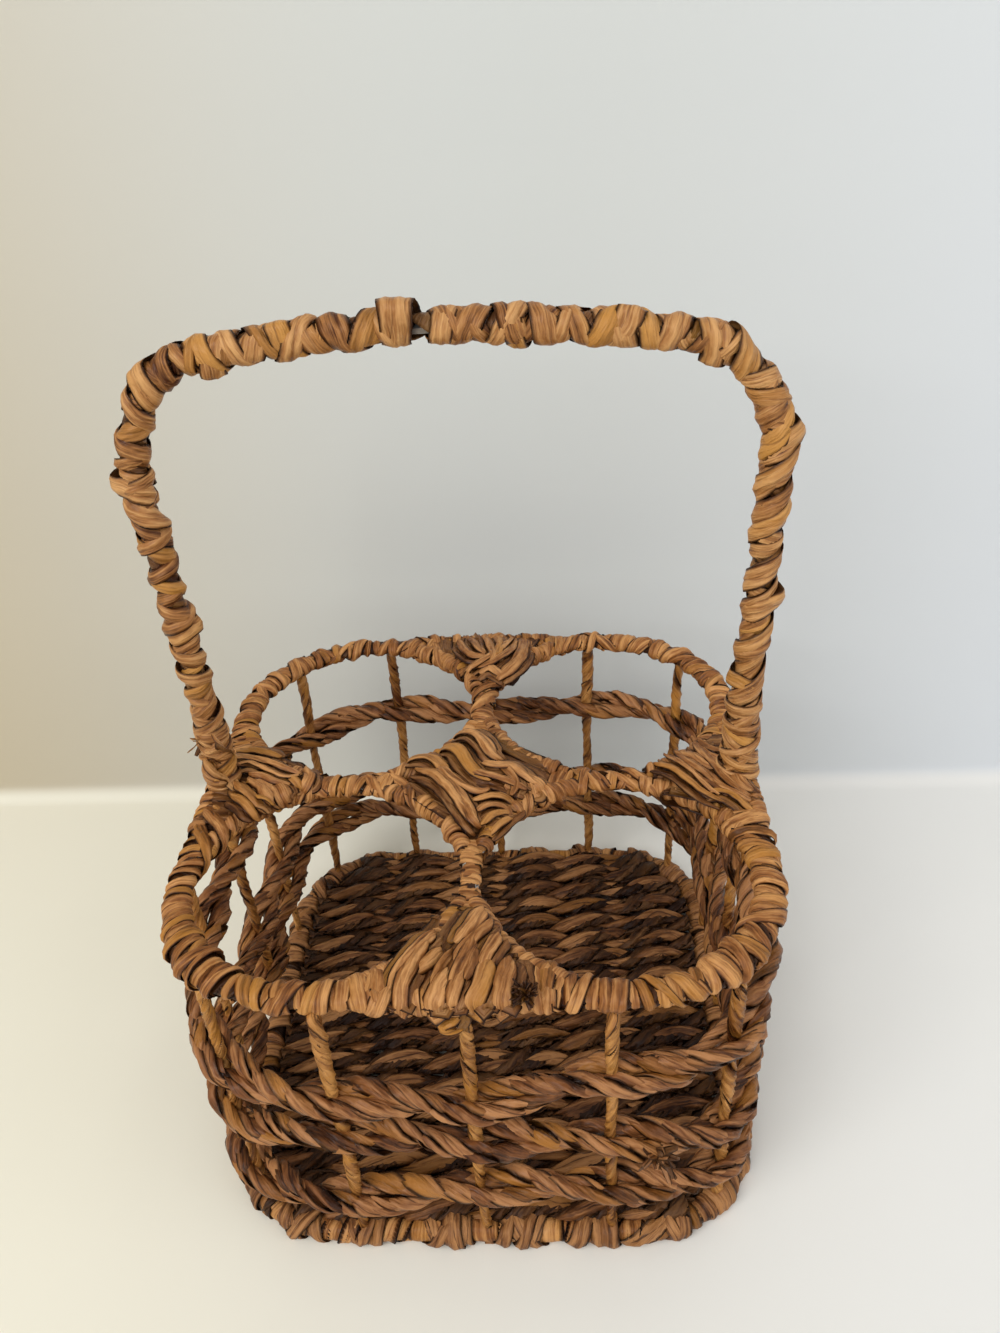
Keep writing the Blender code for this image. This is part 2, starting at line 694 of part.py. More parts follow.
def main():
    for old in list(bpy.data.objects):
        bpy.data.objects.remove(old, do_unlink=True)
    basket = bpy.data.objects.new("basket", None)
    bpy.context.scene.collection.objects.link(basket)

    steel = make_material("wire_steel", (0.36, 0.35, 0.33), 0.45, 1.0)
    rim_leaf = make_material("rim_leaf", (0.45, 0.26, 0.12), 0.6)
    web_leaf = make_material("web_leaf", (0.40, 0.21, 0.10), 0.6)
    handle_leaf = make_material("handle_leaf", (0.45, 0.26, 0.12), 0.6)
    stake_leaf = make_material("stake_leaf", (0.50, 0.32, 0.13), 0.6)
    row_leaf = make_material("row_leaf", (0.30, 0.15, 0.07), 0.65)
    floor_leaf = make_material("floor_leaf", (0.27, 0.14, 0.06), 0.65)

    build_frame(steel, basket)
    build_rim_bindings(rim_leaf, basket)
    build_webs(web_leaf, steel, basket)
    build_handle(handle_leaf, basket)
    build_stakes(stake_leaf, basket)
    build_rows(row_leaf, basket)
    build_base(rim_leaf, floor_leaf, basket)


main()
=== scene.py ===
"""The finish of a wine bottle basket: leaf wound, lashed and woven on its wire frame.

Units are metres and +Z is up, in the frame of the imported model. Wound leaf follows
a route through one node tree, laid leaf follows many short routes through another.
"""

import bisect
import math
import random

import bpy
from mathutils import Matrix, Vector, noise


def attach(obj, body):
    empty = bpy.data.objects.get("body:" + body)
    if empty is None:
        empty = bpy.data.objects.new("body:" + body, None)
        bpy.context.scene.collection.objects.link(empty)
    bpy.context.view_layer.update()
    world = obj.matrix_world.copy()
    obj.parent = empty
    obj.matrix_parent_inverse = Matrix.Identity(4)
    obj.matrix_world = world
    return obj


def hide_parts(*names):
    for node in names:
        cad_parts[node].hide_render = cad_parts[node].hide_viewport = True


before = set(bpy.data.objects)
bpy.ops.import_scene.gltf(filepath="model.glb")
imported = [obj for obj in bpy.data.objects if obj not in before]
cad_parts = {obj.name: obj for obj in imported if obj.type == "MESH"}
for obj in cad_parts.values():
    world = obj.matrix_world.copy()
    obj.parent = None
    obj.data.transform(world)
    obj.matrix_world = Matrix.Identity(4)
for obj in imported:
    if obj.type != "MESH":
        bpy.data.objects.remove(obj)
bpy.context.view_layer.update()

# Frame sizes, as the wires and rows of the model have them
RIM_HALF = 0.1180
RIM_HEIGHT = 0.1600
RIM_OUTER = 0.0052
BASE_HALF = 0.1145
BASE_CORNER_RADIUS = 0.0500
BASE_HEIGHT = 0.0052
CELL_CENTRE = 0.058175
RING_RADIUS = 0.056525
RIM_CORNER_RADIUS = RIM_HALF - CELL_CENTRE
WEB_TOP = RIM_HEIGHT + RIM_OUTER
WEB_BOTTOM = RIM_HEIGHT - RIM_OUTER
HANDLE_FOOT_HALF = 0.1137
HANDLE_HEIGHT = 0.3600
HANDLE_SHOULDER_HALF = 0.1175
HANDLE_SHOULDER_HEIGHT = 0.3080
HANDLE_SHOULDER_WIDTH = 0.0360
HANDLE_CROWN = 0.0060
STAKE_SPACING = 0.0530
STAKES_PER_SIDE = 4
STAKE_COUNT = 16
TWINE_SWING = 0.0046
TWINE_LIFT = 0.0032
ROW_LEVEL_SHARES = (
    (0.20, 0.21, 0.25, 0.27, 0.21, 0.24, 0.27, 0.28,
     0.29, 0.30, 0.30, 0.30, 0.29, 0.27, 0.25, 0.22),
    (0.46, 0.50, 0.46, 0.48, 0.39, 0.40, 0.42, 0.42,
     0.42, 0.42, 0.42, 0.42, 0.42, 0.41, 0.42, 0.44),
    (0.66, 0.64, 0.62, 0.73, 0.72, 0.74, 0.76, 0.75,
     0.74, 0.74, 0.72, 0.74, 0.71, 0.74, 0.76, 0.77),
)
ROD_COUNT = 6
ROD_SPACING = 0.0330
ROD_HEIGHT = 0.0070
FLOOR_ROWS = 16
FLOOR_ROW_PITCH = 0.0130
FLOOR_HALF = 0.1090
FLOOR_EDGE = 0.1068
FLOOR_CORNER_RADIUS = 0.0445

STEPS_PER_STAKE = 12
STRAND_OVERRUN = 26
LASHING_HEIGHT = 0.0243
WEB_EDGE_HALF = 0.0310
BASE_SIDE = BASE_CORNER_RADIUS * math.pi / 2 + 2 * (BASE_HALF - BASE_CORNER_RADIUS)
LOWEST_LEAF = 0.0003
FOLDS_PER_METRE = 190.0
MM = 0.001

UP = Vector((0, 0, 1))
BACK = Vector((0, 1, 0))

CORNERS = (
    ("front_left", -1, -1),
    ("front_right", 1, -1),
    ("back_right", 1, 1),
    ("back_left", -1, 1),
)
SIDE_NAMES = ("front", "right", "back", "left")


class Value:
    """A number that a node tree works out, with the signs of sums and products."""

    def __init__(self, graph, output):
        self.graph = graph
        self.output = output

    def __add__(self, other):
        return self.graph.math("ADD", self, other)

    def __radd__(self, other):
        return self.graph.math("ADD", other, self)

    def __sub__(self, other):
        return self.graph.math("SUBTRACT", self, other)

    def __rsub__(self, other):
        return self.graph.math("SUBTRACT", other, self)

    def __mul__(self, other):
        return self.graph.math("MULTIPLY", self, other)

    def __rmul__(self, other):
        return self.graph.math("MULTIPLY", other, self)

    def __truediv__(self, other):
        return self.graph.math("DIVIDE", self, other)

    def __pow__(self, other):
        return self.graph.math("POWER", self, other)


class Direction(Value):
    """A vector that a node tree works out."""

    def __add__(self, other):
        return self.graph.vector("ADD", self, other)

    def __mul__(self, other):
        inputs = {"Vector": self, "Scale": other}
        node = self.graph.node("ShaderNodeVectorMath", {"operation": "SCALE"}, inputs)
        return Direction(self.graph, node.outputs[0])


class Graph:
    """A node tree that is built from values."""

    def __init__(self, tree):
        self.tree = tree

    def node(self, kind, settings=None, inputs=None):
        """Add a node: its settings first, then the values or links of its sockets."""
        node = self.tree.nodes.new(kind)
        for name, setting in (settings or {}).items():
            if name == "stops":
                set_stops(node.color_ramp, setting)
            else:
                setattr(node, name, setting)
        for key, value in (inputs or {}).items():
            if isinstance(value, Value):
                self.tree.links.new(value.output, node.inputs[key])
            else:
                node.inputs[key].default_value = value
        return node

    def value(self, kind, settings=None, inputs=None, output=0):
        return Value(self, self.node(kind, settings, inputs).outputs[output])

    def direction(self, kind, settings=None, inputs=None, output=0):
        return Direction(self, self.node(kind, settings, inputs).outputs[output])

    def math(self, operation, *values):
        return self.value("ShaderNodeMath", {"operation": operation}, dict(enumerate(values)))

    def vector(self, operation, *values):
        settings = {"operation": operation}
        return self.direction("ShaderNodeVectorMath", settings, dict(enumerate(values)))

    def combine(self, x, y, z):
        return self.direction("ShaderNodeCombineXYZ", None, {0: x, 1: y, 2: z})

    def split(self, vector):
        node = self.node("ShaderNodeSeparateXYZ", None, {0: vector})
        return [Value(self, node.outputs[axis]) for axis in range(3)]

    def noise(self, place, scale=1.0, detail=1.0):
        """Noise from -1 to 1, mostly within a half."""
        settings = {"noise_dimensions": "3D"}
        inputs = {"Vector": place, "Scale": scale, "Detail": detail}
        return (self.value("ShaderNodeTexNoise", settings, inputs) - 0.5) * 2

    def colour(self, factor, first, second, blend="MIX"):
        settings = {"data_type": "RGBA", "blend_type": blend, "clamp_factor": True}
        return self.value("ShaderNodeMix", settings, {0: factor, 6: first, 7: second}, 2)

    def between(self, value, low, high, first=0.0, second=1.0):
        """Map a value from one range to another, smooth and held at both ends."""
        settings = {"interpolation_type": "SMOOTHSTEP"}
        inputs = {0: value, 1: low, 2: high, 3: first, 4: second}
        return self.value("ShaderNodeMapRange", settings, inputs)

    def bump(self, strength, distance, height):
        inputs = {"Strength": strength, "Distance": distance, "Height": height}
        return self.direction("ShaderNodeBump", None, inputs)

    def shade(self, shader, inputs):
        """Give a shader's sockets their values or links."""
        for name, value in inputs.items():
            if isinstance(value, Value):
                self.tree.links.new(value.output, shader.inputs[name])
            else:
                shader.inputs[name].default_value = value


def set_stops(ramp, stops):
    """Give a colour ramp its stops."""
    while len(ramp.elements) > 1:
        ramp.elements.remove(ramp.elements[-1])
    for number, (place, colour) in enumerate(stops):
        element = ramp.elements[0] if number == 0 else ramp.elements.new(place)
        element.position = place
        element.color = (*colour, 1.0)


# Node trees

GEOMETRY = "NodeSocketGeometry"
LENGTH = "NodeSocketFloat"
COUNT = "NodeSocketInt"
VECTOR = "NodeSocketVector"
MATERIAL = "NodeSocketMaterial"

WINDING_INPUTS = (
    ("Route", GEOMETRY), ("Upright", VECTOR), ("Core", LENGTH), ("Start", LENGTH),
    ("Stop", LENGTH), ("Pitch", LENGTH), ("Hand", LENGTH), ("Strips", COUNT), ("Width", LENGTH),
    ("Thickness", LENGTH), ("Lap", LENGTH), ("Crown", LENGTH), ("Crease", LENGTH),
    ("Wander", LENGTH), ("Lowest", LENGTH), ("Tone", LENGTH), ("Depth", LENGTH),
    ("Steps", COUNT), ("Points", COUNT), ("Seed", COUNT), ("Leaf", MATERIAL),
)
LAYING_INPUTS = (
    ("Route", GEOMETRY), ("Thickness", LENGTH), ("Ruffle", LENGTH), ("Lowest", LENGTH),
    ("Steps", COUNT), ("Points", COUNT), ("Seed", COUNT), ("Leaf", MATERIAL),
)


def new_tree(name, inputs):
    """Start a geometry tree with named inputs and one geometry output."""
    tree = bpy.data.node_groups.new(name, "GeometryNodeTree")
    for label, kind in inputs:
        tree.interface.new_socket(label, in_out="INPUT", socket_type=kind)
    tree.interface.new_socket("Mesh", in_out="OUTPUT", socket_type=GEOMETRY)
    graph = Graph(tree)
    given = tree.nodes.new("NodeGroupInput")
    values = {}
    for label, kind in inputs:
        shape = Direction if kind == VECTOR else Value
        values[label] = shape(graph, given.outputs[label])
    return graph, values


def leaf_blanks(graph, amount, steps, points):
    """Return numbered straight tubes that become strips of leaf, and each point's place on them.

    Across the strip it runs evenly from -1 to 1, and over it from -1 below to 1 above.
    """
    tube = graph.value("GeometryNodeMeshCylinder", {"fill_type": "NGON"}, {
        "Vertices": points, "Side Segments": steps, "Radius": 1.0, "Depth": 1.0,
    })
    blank = graph.value("GeometryNodeGeometryToInstance", None, {0: tube})
    copies = graph.node("GeometryNodeDuplicateElements", {"domain": "INSTANCE"}, {
        "Geometry": blank, "Amount": amount,
    })
    copied, number = (Value(graph, output) for output in copies.outputs[:2])
    settings = {"domain": "INSTANCE", "data_type": "INT"}
    inputs = {"Geometry": copied, "Name": "strip", "Value": number}
    numbered = graph.value("GeometryNodeStoreNamedAttribute", settings, inputs)
    blanks = graph.value("GeometryNodeRealizeInstances", None, {0: numbered})
    strip = graph.value("GeometryNodeInputNamedAttribute", {"data_type": "INT"}, {"Name": "strip"})
    across, over, along = graph.split(graph.direction("GeometryNodeInputPosition"))
    side = graph.math("ARCSINE", across) * (-2 / math.pi)
    return blanks, strip, side, over, along + 0.5


def finish_tree(graph, mesh, place, leaf, form, material):
    """Move the points, keep the leaf's own coordinates and form, and give it its material."""
    kept = mesh
    settings = {"domain": "POINT", "data_type": "FLOAT_VECTOR"}
    for name, value in (("leaf", leaf), ("form", form)):
        inputs = {"Geometry": kept, "Name": name, "Value": value}
        kept = graph.value("GeometryNodeStoreNamedAttribute", settings, inputs)
    moved = graph.value("GeometryNodeSetPosition", None, {"Geometry": kept, "Position": place})
    real = graph.value("GeometryNodeRealizeInstances", None, {0: moved})
    smooth = graph.value("GeometryNodeSetShadeSmooth", None, {0: real})
    inputs = {"Geometry": smooth, "Material": material}
    covered = graph.value("GeometryNodeSetMaterial", None, inputs)
    graph.node("NodeGroupOutput", None, {0: covered})
    return graph.tree


def sample_route(graph, curve, mode, where, attribute, spline=None):
    """Return a route's point and tangent, and one of its attributes there."""
    vectors = {"data_type": "FLOAT_VECTOR"}
    kept = graph.direction("GeometryNodeInputNamedAttribute", vectors, {"Name": attribute})
    key = "Length" if mode == "LENGTH" else "Factor"
    settings = {"mode": mode, "data_type": "FLOAT_VECTOR", "use_all_curves": False}
    number = 0 if spline is None else spline
    inputs = {"Curves": curve, "Value": kept, key: where, "Curve Index": number}
    node = graph.node("GeometryNodeSampleCurve", settings, inputs)
    return [Direction(graph, node.outputs[name]) for name in ("Position", "Tangent", "Value")]


def folds(graph, along, across, mark):
    """Return a count of the folds across a leaf, which drift along it, and their height."""
    drift = graph.noise(graph.combine(along * 28.0, mark, 0.0), 1.0, 1.0) * 1.6
    count = across * FOLDS_PER_METRE + drift + mark
    fine = graph.noise(graph.combine(along * 40.0, across * 700.0, mark), 1.0, 2.0)
    return count, zigzag(graph, count) * 0.8 + fine * 0.5


def zigzag(graph, count):
    """Return the height of folds, from -1 in a valley to 1 on a sharp ridge."""
    return graph.math("PINGPONG", count, 0.5) * 4 - 1


def stay_above(graph, place, lowest):
    """Keep points above a height, so that nothing sinks into what the basket stands on."""
    x, y, z = graph.split(place)
    return graph.combine(x, y, graph.math("SMOOTH_MAX", z, lowest, 0.0006))


def build_winding_tree():
    """Strips of leaf wound round a route: each turn laps over the last."""
    graph, given = new_tree("leaf_winding", WINDING_INPUTS)
    curve = graph.value("GeometryNodeMeshToCurve", None, {0: given["Route"]})
    run = given["Stop"] - given["Start"]
    turns = run / given["Pitch"]
    steps = graph.math("MAXIMUM", turns * given["Steps"], 3)
    blanks, strip, across, over, share = leaf_blanks(graph, given["Strips"], steps, given["Points"])

    phase = strip / given["Strips"]
    turn = share * turns + phase
    mark = strip * 5.3 + given["Seed"] * 9.7
    girth = given["Core"] * math.tau
    reach = graph.math("SQRT", given["Pitch"] ** 2 + girth ** 2)
    level = girth / reach
    climb = given["Pitch"] / reach

    side = across * given["Hand"]
    sway = graph.noise(graph.combine(turn * 1.15, mark, 0.0), 1.0, 2.0)
    swell = graph.noise(graph.combine(turn * 0.7, mark, 4.4), 1.0, 1.0)
    offset = side * given["Width"] * (1 + swell * given["Wander"] * 0.9) / 2
    along = turn * reach
    strayed = sway * given["Wander"] * given["Width"] * 0.55
    where = given["Start"] + share * run + offset * level + strayed
    angle = given["Hand"] * turn * math.tau - given["Hand"] * offset * climb / given["Core"]

    count, fold = folds(graph, along, offset, mark)
    lump = graph.noise(graph.combine(where * 55.0, angle * 0.5, mark), 1.0, 1.0)
    height = (
        over * given["Thickness"] / 2
        + given["Lap"] * (side * 0.5 + 0.5)
        + given["Crown"] * (1 - side * side)
        + given["Crease"] * fold
        + given["Wander"] * lump * given["Width"] * 0.10
    )

    point, tangent, section = sample_route(graph, curve, "LENGTH", where, "section")
    wide, tall, slack = graph.split(section)
    right = graph.vector("NORMALIZE", graph.vector("CROSS_PRODUCT", tangent, given["Upright"]))
    lift = graph.vector("CROSS_PRODUCT", right, tangent)
    spread = right * ((wide + height) * graph.math("COSINE", angle))
    rise = lift * ((tall + height) * graph.math("SINE", angle))
    place = stay_above(graph, point + spread + rise, given["Lowest"])

    tone = graph.noise(graph.combine(turn * 0.55, mark, 9.1), 1.0, 0.0) * 0.7 + given["Tone"]
    leaf = graph.combine(along + mark, offset, tone)
    # The third value of form is the depth that paints shade: the edge that lies under the turn
    # before it gets less, so painted shade darkens it
    form = graph.combine(side, count, given["Depth"] * (0.8 + side * 0.2))
    return finish_tree(graph, blanks, place, leaf, form, given["Leaf"])


def build_laying_tree():
    """Strips of leaf laid along routes, one strip on each."""
    graph, given = new_tree("leaf_laying", LAYING_INPUTS)
    curve = graph.value("GeometryNodeMeshToCurve", None, {0: given["Route"]})
    amount = graph.value("GeometryNodeAttributeDomainSize", {"component": "CURVE"}, {0: curve}, 4)
    blanks, strip, side, over, share = leaf_blanks(graph, amount, given["Steps"], given["Points"])
    length = graph.value("GeometryNodeSplineLength")
    settings = {"data_type": "FLOAT", "domain": "CURVE"}
    inputs = {"Geometry": curve, "Value": length, "Index": strip}
    spline_length = graph.value("GeometryNodeSampleIndex", settings, inputs)

    point, tangent, facing = sample_route(graph, curve, "FACTOR", share, "facing", strip)
    measures = sample_route(graph, curve, "FACTOR", share, "measures", strip)[2]
    half_width, tone, depth = graph.split(measures)
    bends = sample_route(graph, curve, "FACTOR", share, "bends", strip)[2]
    crown, lean, crease = graph.split(bends)
    mark = strip * 3.7 + given["Seed"] * 1.3
    along = share * spline_length

    sway = graph.noise(graph.combine(along * 45.0, mark, 0.0), 1.0, 2.0)
    swell = graph.noise(graph.combine(along * 60.0, mark, 4.4), 1.0, 1.0)
    ragged = graph.noise(graph.combine(along * 170.0, side * 0.8, mark + 7.0), 1.0, 2.0)
    twist = graph.noise(graph.combine(along * 38.0, mark + 11.0, 0.0), 1.0, 1.0)
    ruffle = given["Ruffle"]
    wider = 1 + swell * ruffle * 1.4 + ragged * ruffle * 0.5
    offset = half_width * (side * wider + sway * ruffle * 0.6)
    count, fold = folds(graph, along, offset, mark)
    skew = graph.noise(graph.combine(along * 14.0, mark + 3.0, 2.0), 1.0, 0.0) * 0.9
    ridge = graph.math("ABSOLUTE", side - skew)
    dents = graph.combine(along * 190.0 + offset * 90.0, offset * 330.0, mark + 15.0)
    crumple = graph.noise(dents, 1.0, 1.0)
    height = (
        over * given["Thickness"] / 2
        + crown * (1 - ridge * 0.65 - side * side * 0.35)
        + lean * side
        + crease * fold
        + crumple * ruffle * 0.0022
        + twist * ruffle * side * half_width * 0.6
    )
    right = graph.vector("NORMALIZE", graph.vector("CROSS_PRODUCT", tangent, facing))
    lift = graph.vector("CROSS_PRODUCT", right, tangent)
    place = stay_above(graph, point + right * offset + lift * height, given["Lowest"])
    leaf = graph.combine(along + strip * 0.7 + given["Seed"] * 3.1, offset, tone)
    # The third value of form is the depth that paints shade: less on the underside and at the
    # edges, so painted shade darkens them
    under = graph.between(over, -0.2, 0.2, 0.45, 1.0)
    form = graph.combine(side, count, depth * under * (1 - (side ** 2) ** 3 * 0.5))
    return finish_tree(graph, blanks, place, leaf, form, given["Leaf"])


winding_tree = build_winding_tree()
laying_tree = build_laying_tree()


# Making pieces

def run_tree(tree, mesh, inputs):
    """Run a geometry tree on a mesh and return the result as a plain object."""
    carrier = bpy.data.objects.new("carrier", mesh)
    bpy.context.scene.collection.objects.link(carrier)
    modifier = carrier.modifiers.new("leaf", "NODES")
    modifier.node_group = tree
    sockets = {item.name: item.identifier for item in tree.interface.items_tree
               if item.in_out == "INPUT"}
    for label, value in inputs.items():
        modifier[sockets[label]] = value
    ready = carrier.evaluated_get(bpy.context.evaluated_depsgraph_get())
    result = bpy.data.meshes.new_from_object(ready)
    carrier.modifiers.remove(modifier)
    bpy.data.objects.remove(carrier)
    result.materials.clear()
    result.materials.append(inputs["Leaf"])
    made = bpy.data.objects.new("made", result)
    bpy.context.scene.collection.objects.link(made)
    return made


def route_mesh(chains, attributes):
    """Return a mesh of edges for routes, with a vector attribute for each named list."""
    points = [point for chain in chains for point in chain]
    edges = []
    first = 0
    for chain in chains:
        edges += [(first + step, first + step + 1) for step in range(len(chain) - 1)]
        first += len(chain)
    mesh = bpy.data.meshes.new("route")
    mesh.from_pydata([tuple(point) for point in points], edges, [])
    for name, values in attributes.items():
        layer = mesh.attributes.new(name, "FLOAT_VECTOR", "POINT")
        layer.data.foreach_set("vector", [number for vector in values for number in vector])
    return mesh


def route_length(points):
    return sum((after - before).length for before, after in zip(points, points[1:]))


def wind(points, sections, upright=UP, start=0.0, stop=None, pitch=0.012, hand=1, strips=2,
         width=0.0085, thickness=0.0006, lap=0.0007, crown=0.0003, crease=0.0003, wander=0.35,
         lowest=-1.0, tone=0.5, depth=1.0, steps=22, section_points=12, seed=1, leaf=None):
    """Wind strips of leaf round a route. A section is the core's half width and half height."""
    # depth below 1 darkens the leaf as painted shade, for beds that lie under other leaf
    mesh = route_mesh([points], {"section": [(wide, tall, 0.0) for wide, tall in sections]})
    length = route_length(points)
    stop = length if stop is None else stop
    mean = sum(wide + tall for wide, tall in sections) / len(sections) / 2
    return run_tree(winding_tree, mesh, {
        "Upright": tuple(upright), "Core": mean, "Start": start, "Stop": stop, "Pitch": pitch,
        "Hand": float(hand), "Strips": strips, "Width": width, "Thickness": thickness,
        "Lap": lap, "Crown": crown, "Crease": crease, "Wander": wander, "Lowest": lowest,
        "Tone": tone, "Depth": depth, "Steps": steps, "Points": section_points, "Seed": seed,
        "Leaf": leaf,
    })


def strip_of(points, facings, half_widths, tone, crown=0.0004, lean=0.0, crease=0.0003, depth=1.0):
    """Describe one strip of leaf: its line, the way it faces, its half width and how it bends."""
    # depth below 1 darkens the strip as painted shade, for strips that lie under others
    return points, facings, half_widths, tone, crown, lean, crease, depth


def lay(strips, seed, leaf, thickness=0.0006, ruffle=0.3, lowest=-1.0, steps=24, section_points=16):
    """Lay strips of leaf, each as strip_of describes it."""
    chains, facings, measures, bends = [], [], [], []
    for points, facing, half_widths, tone, crown, lean, crease, depth in strips:
        chains.append(points)
        facings += facing
        measures += [(half_width, tone, depth) for half_width in half_widths]
        bends += [(crown, lean, crease)] * len(points)
    mesh = route_mesh(chains, {"facing": facings, "measures": measures, "bends": bends})
    return run_tree(laying_tree, mesh, {
        "Thickness": thickness, "Ruffle": ruffle, "Lowest": lowest, "Steps": steps,
        "Points": section_points, "Seed": seed, "Leaf": leaf,
    })


def gather(name, parts, nodes=()):
    """Join parts into one named piece of the basket."""
    keep = parts[0]
    if len(parts) > 1:
        with bpy.context.temp_override(active_object=keep, selected_editable_objects=parts):
            bpy.ops.object.join()
    keep.name = name
    keep.data.name = name
    while len(keep.data.materials) > 1:
        keep.data.materials.pop()
    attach(keep, "root")
    if nodes:
        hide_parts(*nodes)
    return keep


def smooth_route(points, spacing):
    """Return a smooth curve through points, in steps of about one spacing."""
    route = []
    for index in range(len(points) - 1):
        before = points[max(index - 1, 0)]
        start, end = points[index], points[index + 1]
        after = points[min(index + 2, len(points) - 1)]
        count = max(1, round((end - start).length / spacing))
        for step in range(count):
            share = step / count
            square, cube = share ** 2, share ** 3
            route.append(
                before * (-share + 2 * square - cube) / 2
                + start * (2 - 5 * square + 3 * cube) / 2
                + end * (share + 4 * square - 3 * cube) / 2
                + after * (cube - square) / 2
            )
    route.append(points[-1].copy())
    return route


# Strips on a bar

class Bar:
    """A line with a section at each point, which leaf goes round or lies on."""

    def __init__(self, points, sections, upright=UP):
        self.points = points
        self.sections = sections if isinstance(sections, list) else [sections] * len(points)
        self.upright = upright
        self.marks = [0.0]
        for before, after in zip(points, points[1:]):
            self.marks.append(self.marks[-1] + (after - before).length)
        self.length = self.marks[-1]
        last = len(points) - 1
        self.tangents = [(points[min(index + 1, last)] - points[max(index - 1, 0)]).normalized()
                         for index in range(len(points))]

    def at(self, distance):
        """Return the point, the sideways and upward directions and the section at a distance."""
        held = min(max(distance, 0.0), self.length)
        index = min(bisect.bisect_right(self.marks, held) - 1, len(self.points) - 2)
        share = (held - self.marks[index]) / (self.marks[index + 1] - self.marks[index])
        tangent = self.tangents[index].lerp(self.tangents[index + 1], share).normalized()
        point = self.points[index].lerp(self.points[index + 1], share) + tangent * (distance - held)
        right = tangent.cross(self.upright).normalized()
        near, far = self.sections[index], self.sections[index + 1]
        wide = near[0] + (far[0] - near[0]) * share
        tall = near[1] + (far[1] - near[1]) * share
        return point, right, right.cross(tangent), wide, tall

    def girth(self, distance):
        """Return the distance round the bar."""
        wide, tall = self.at(distance)[3:]
        return math.pi * (wide + tall)


def leaf_on(bar, where, run, first, span, proud, half_width, tone, point_share=0.15, tip=0.3,
            dip=0.0014, flat=0.75, crown=0.0003, lean=0.0, crease=0.0003, bump=None):
    """Return a strip on a bar: along it by run, and round it by span, in turns from its right side.

    proud is its height on the bar, and flat says how far the strip bends with the bar across
    its width. bump is a place round the bar, a height and a spread, for a strip that stands
    off in a loop.
    """
    steps = min(40, max(8, round(abs(span) * 22), round(abs(run) / 0.004)))
    girth = bar.girth(where)
    slope = abs(run) / math.hypot(run, span * girth)
    bend = (half_width * slope) ** 2 * math.pi / girth * flat
    points, facings, half_widths = [], [], []
    for step in range(steps + 1):
        share = step / steps
        turn = first + span * share
        cosine, sine = math.cos(math.tau * turn), math.sin(math.tau * turn)
        point, right, lift, wide, tall = bar.at(where + run * (share - 0.5))
        facing = (right * (cosine * tall) + lift * (sine * wide)).normalized()
        end = math.sin(min(1.0, min(share, 1 - share) / point_share) * math.pi / 2)
        height = proud - bend * 0.8 - dip * (1 - end) ** 2
        if bump:
            height += bump[1] * math.exp(-((turn - bump[0]) / bump[2]) ** 2)
        points.append(point + right * (cosine * wide) + lift * (sine * tall) + facing * height)
        facings.append(facing)
        half_widths.append(half_width * (tip + (1 - tip) * end))
    return strip_of(points, facings, half_widths, tone, crown + bend, lean, crease)


def wraps(bar, start, stop, spacing, width, slant, seed, span=1.2, first=0.68, proud=0.0005,
          rise=0.0005, cross=0.12, tone=0.5, spread=0.18, wobble=10.0, **manner):
    """Return single turns of leaf laid one after another along a bar, some of them across the rest.

    slant is in degrees from square to the bar, a number or a pair for its two ends, and wobble is
    how far it varies. cross is how often a turn lies across the rest.
    """
    draw = random.Random(seed)
    first_slant, last_slant = slant if isinstance(slant, tuple) else (slant, slant)
    strips = []
    where = start
    number = 0
    while where < stop:
        share = (where - start) / (stop - start)
        lean_angle = first_slant + (last_slant - first_slant) * share + draw.gauss(0, wobble)
        crossing = draw.random() < cross
        if crossing:
            lean_angle = -lean_angle + draw.choice((-25, 25))
        run = bar.girth(where) * span * math.tan(math.radians(max(-60, min(60, lean_angle))))
        height = proud + rise * (number % 3) / 2 + draw.uniform(-0.3, 0.5) * rise
        height += crossing * 0.0007
        half_width = width / 2 * draw.uniform(0.7, 1.35) * (0.85 if crossing else 1)
        tone_here = tone + draw.uniform(-spread, spread)
        start_turn = first + draw.uniform(-0.06, 0.06)
        strips.append(leaf_on(bar, where, run, start_turn, span * draw.uniform(0.95, 1.1), height,
                              half_width, tone_here, **manner))
        where += spacing * draw.uniform(0.75, 1.2) * (0.7 if crossing else 1)
        number += 1
    return strips


def strand_leaves(bar, stop, length, width, around, turn_length, seed, proud, tone, spread,
                  **manner):
    """Return long pointed leaves that lie along a strand and turn slowly round it."""
    draw = random.Random(seed)
    strips = []
    for lane in range(around):
        where = draw.uniform(0, length)
        while where < stop:
            run = length * draw.uniform(0.65, 1.35)
            span = run / turn_length
            middle = lane / around + where / turn_length + draw.uniform(-0.07, 0.07)
            strips.append(leaf_on(
                bar, where, run, middle - span / 2, span, proud + draw.uniform(0, 0.0010),
                width / 2 * draw.uniform(0.75, 1.25), tone + draw.uniform(-spread, spread),
                point_share=draw.uniform(0.35, 0.5), tip=0.08, dip=0.0016,
                lean=draw.uniform(-0.0008, 0.0008), **manner))
            where += run * draw.uniform(0.5, 0.7)
    return strips


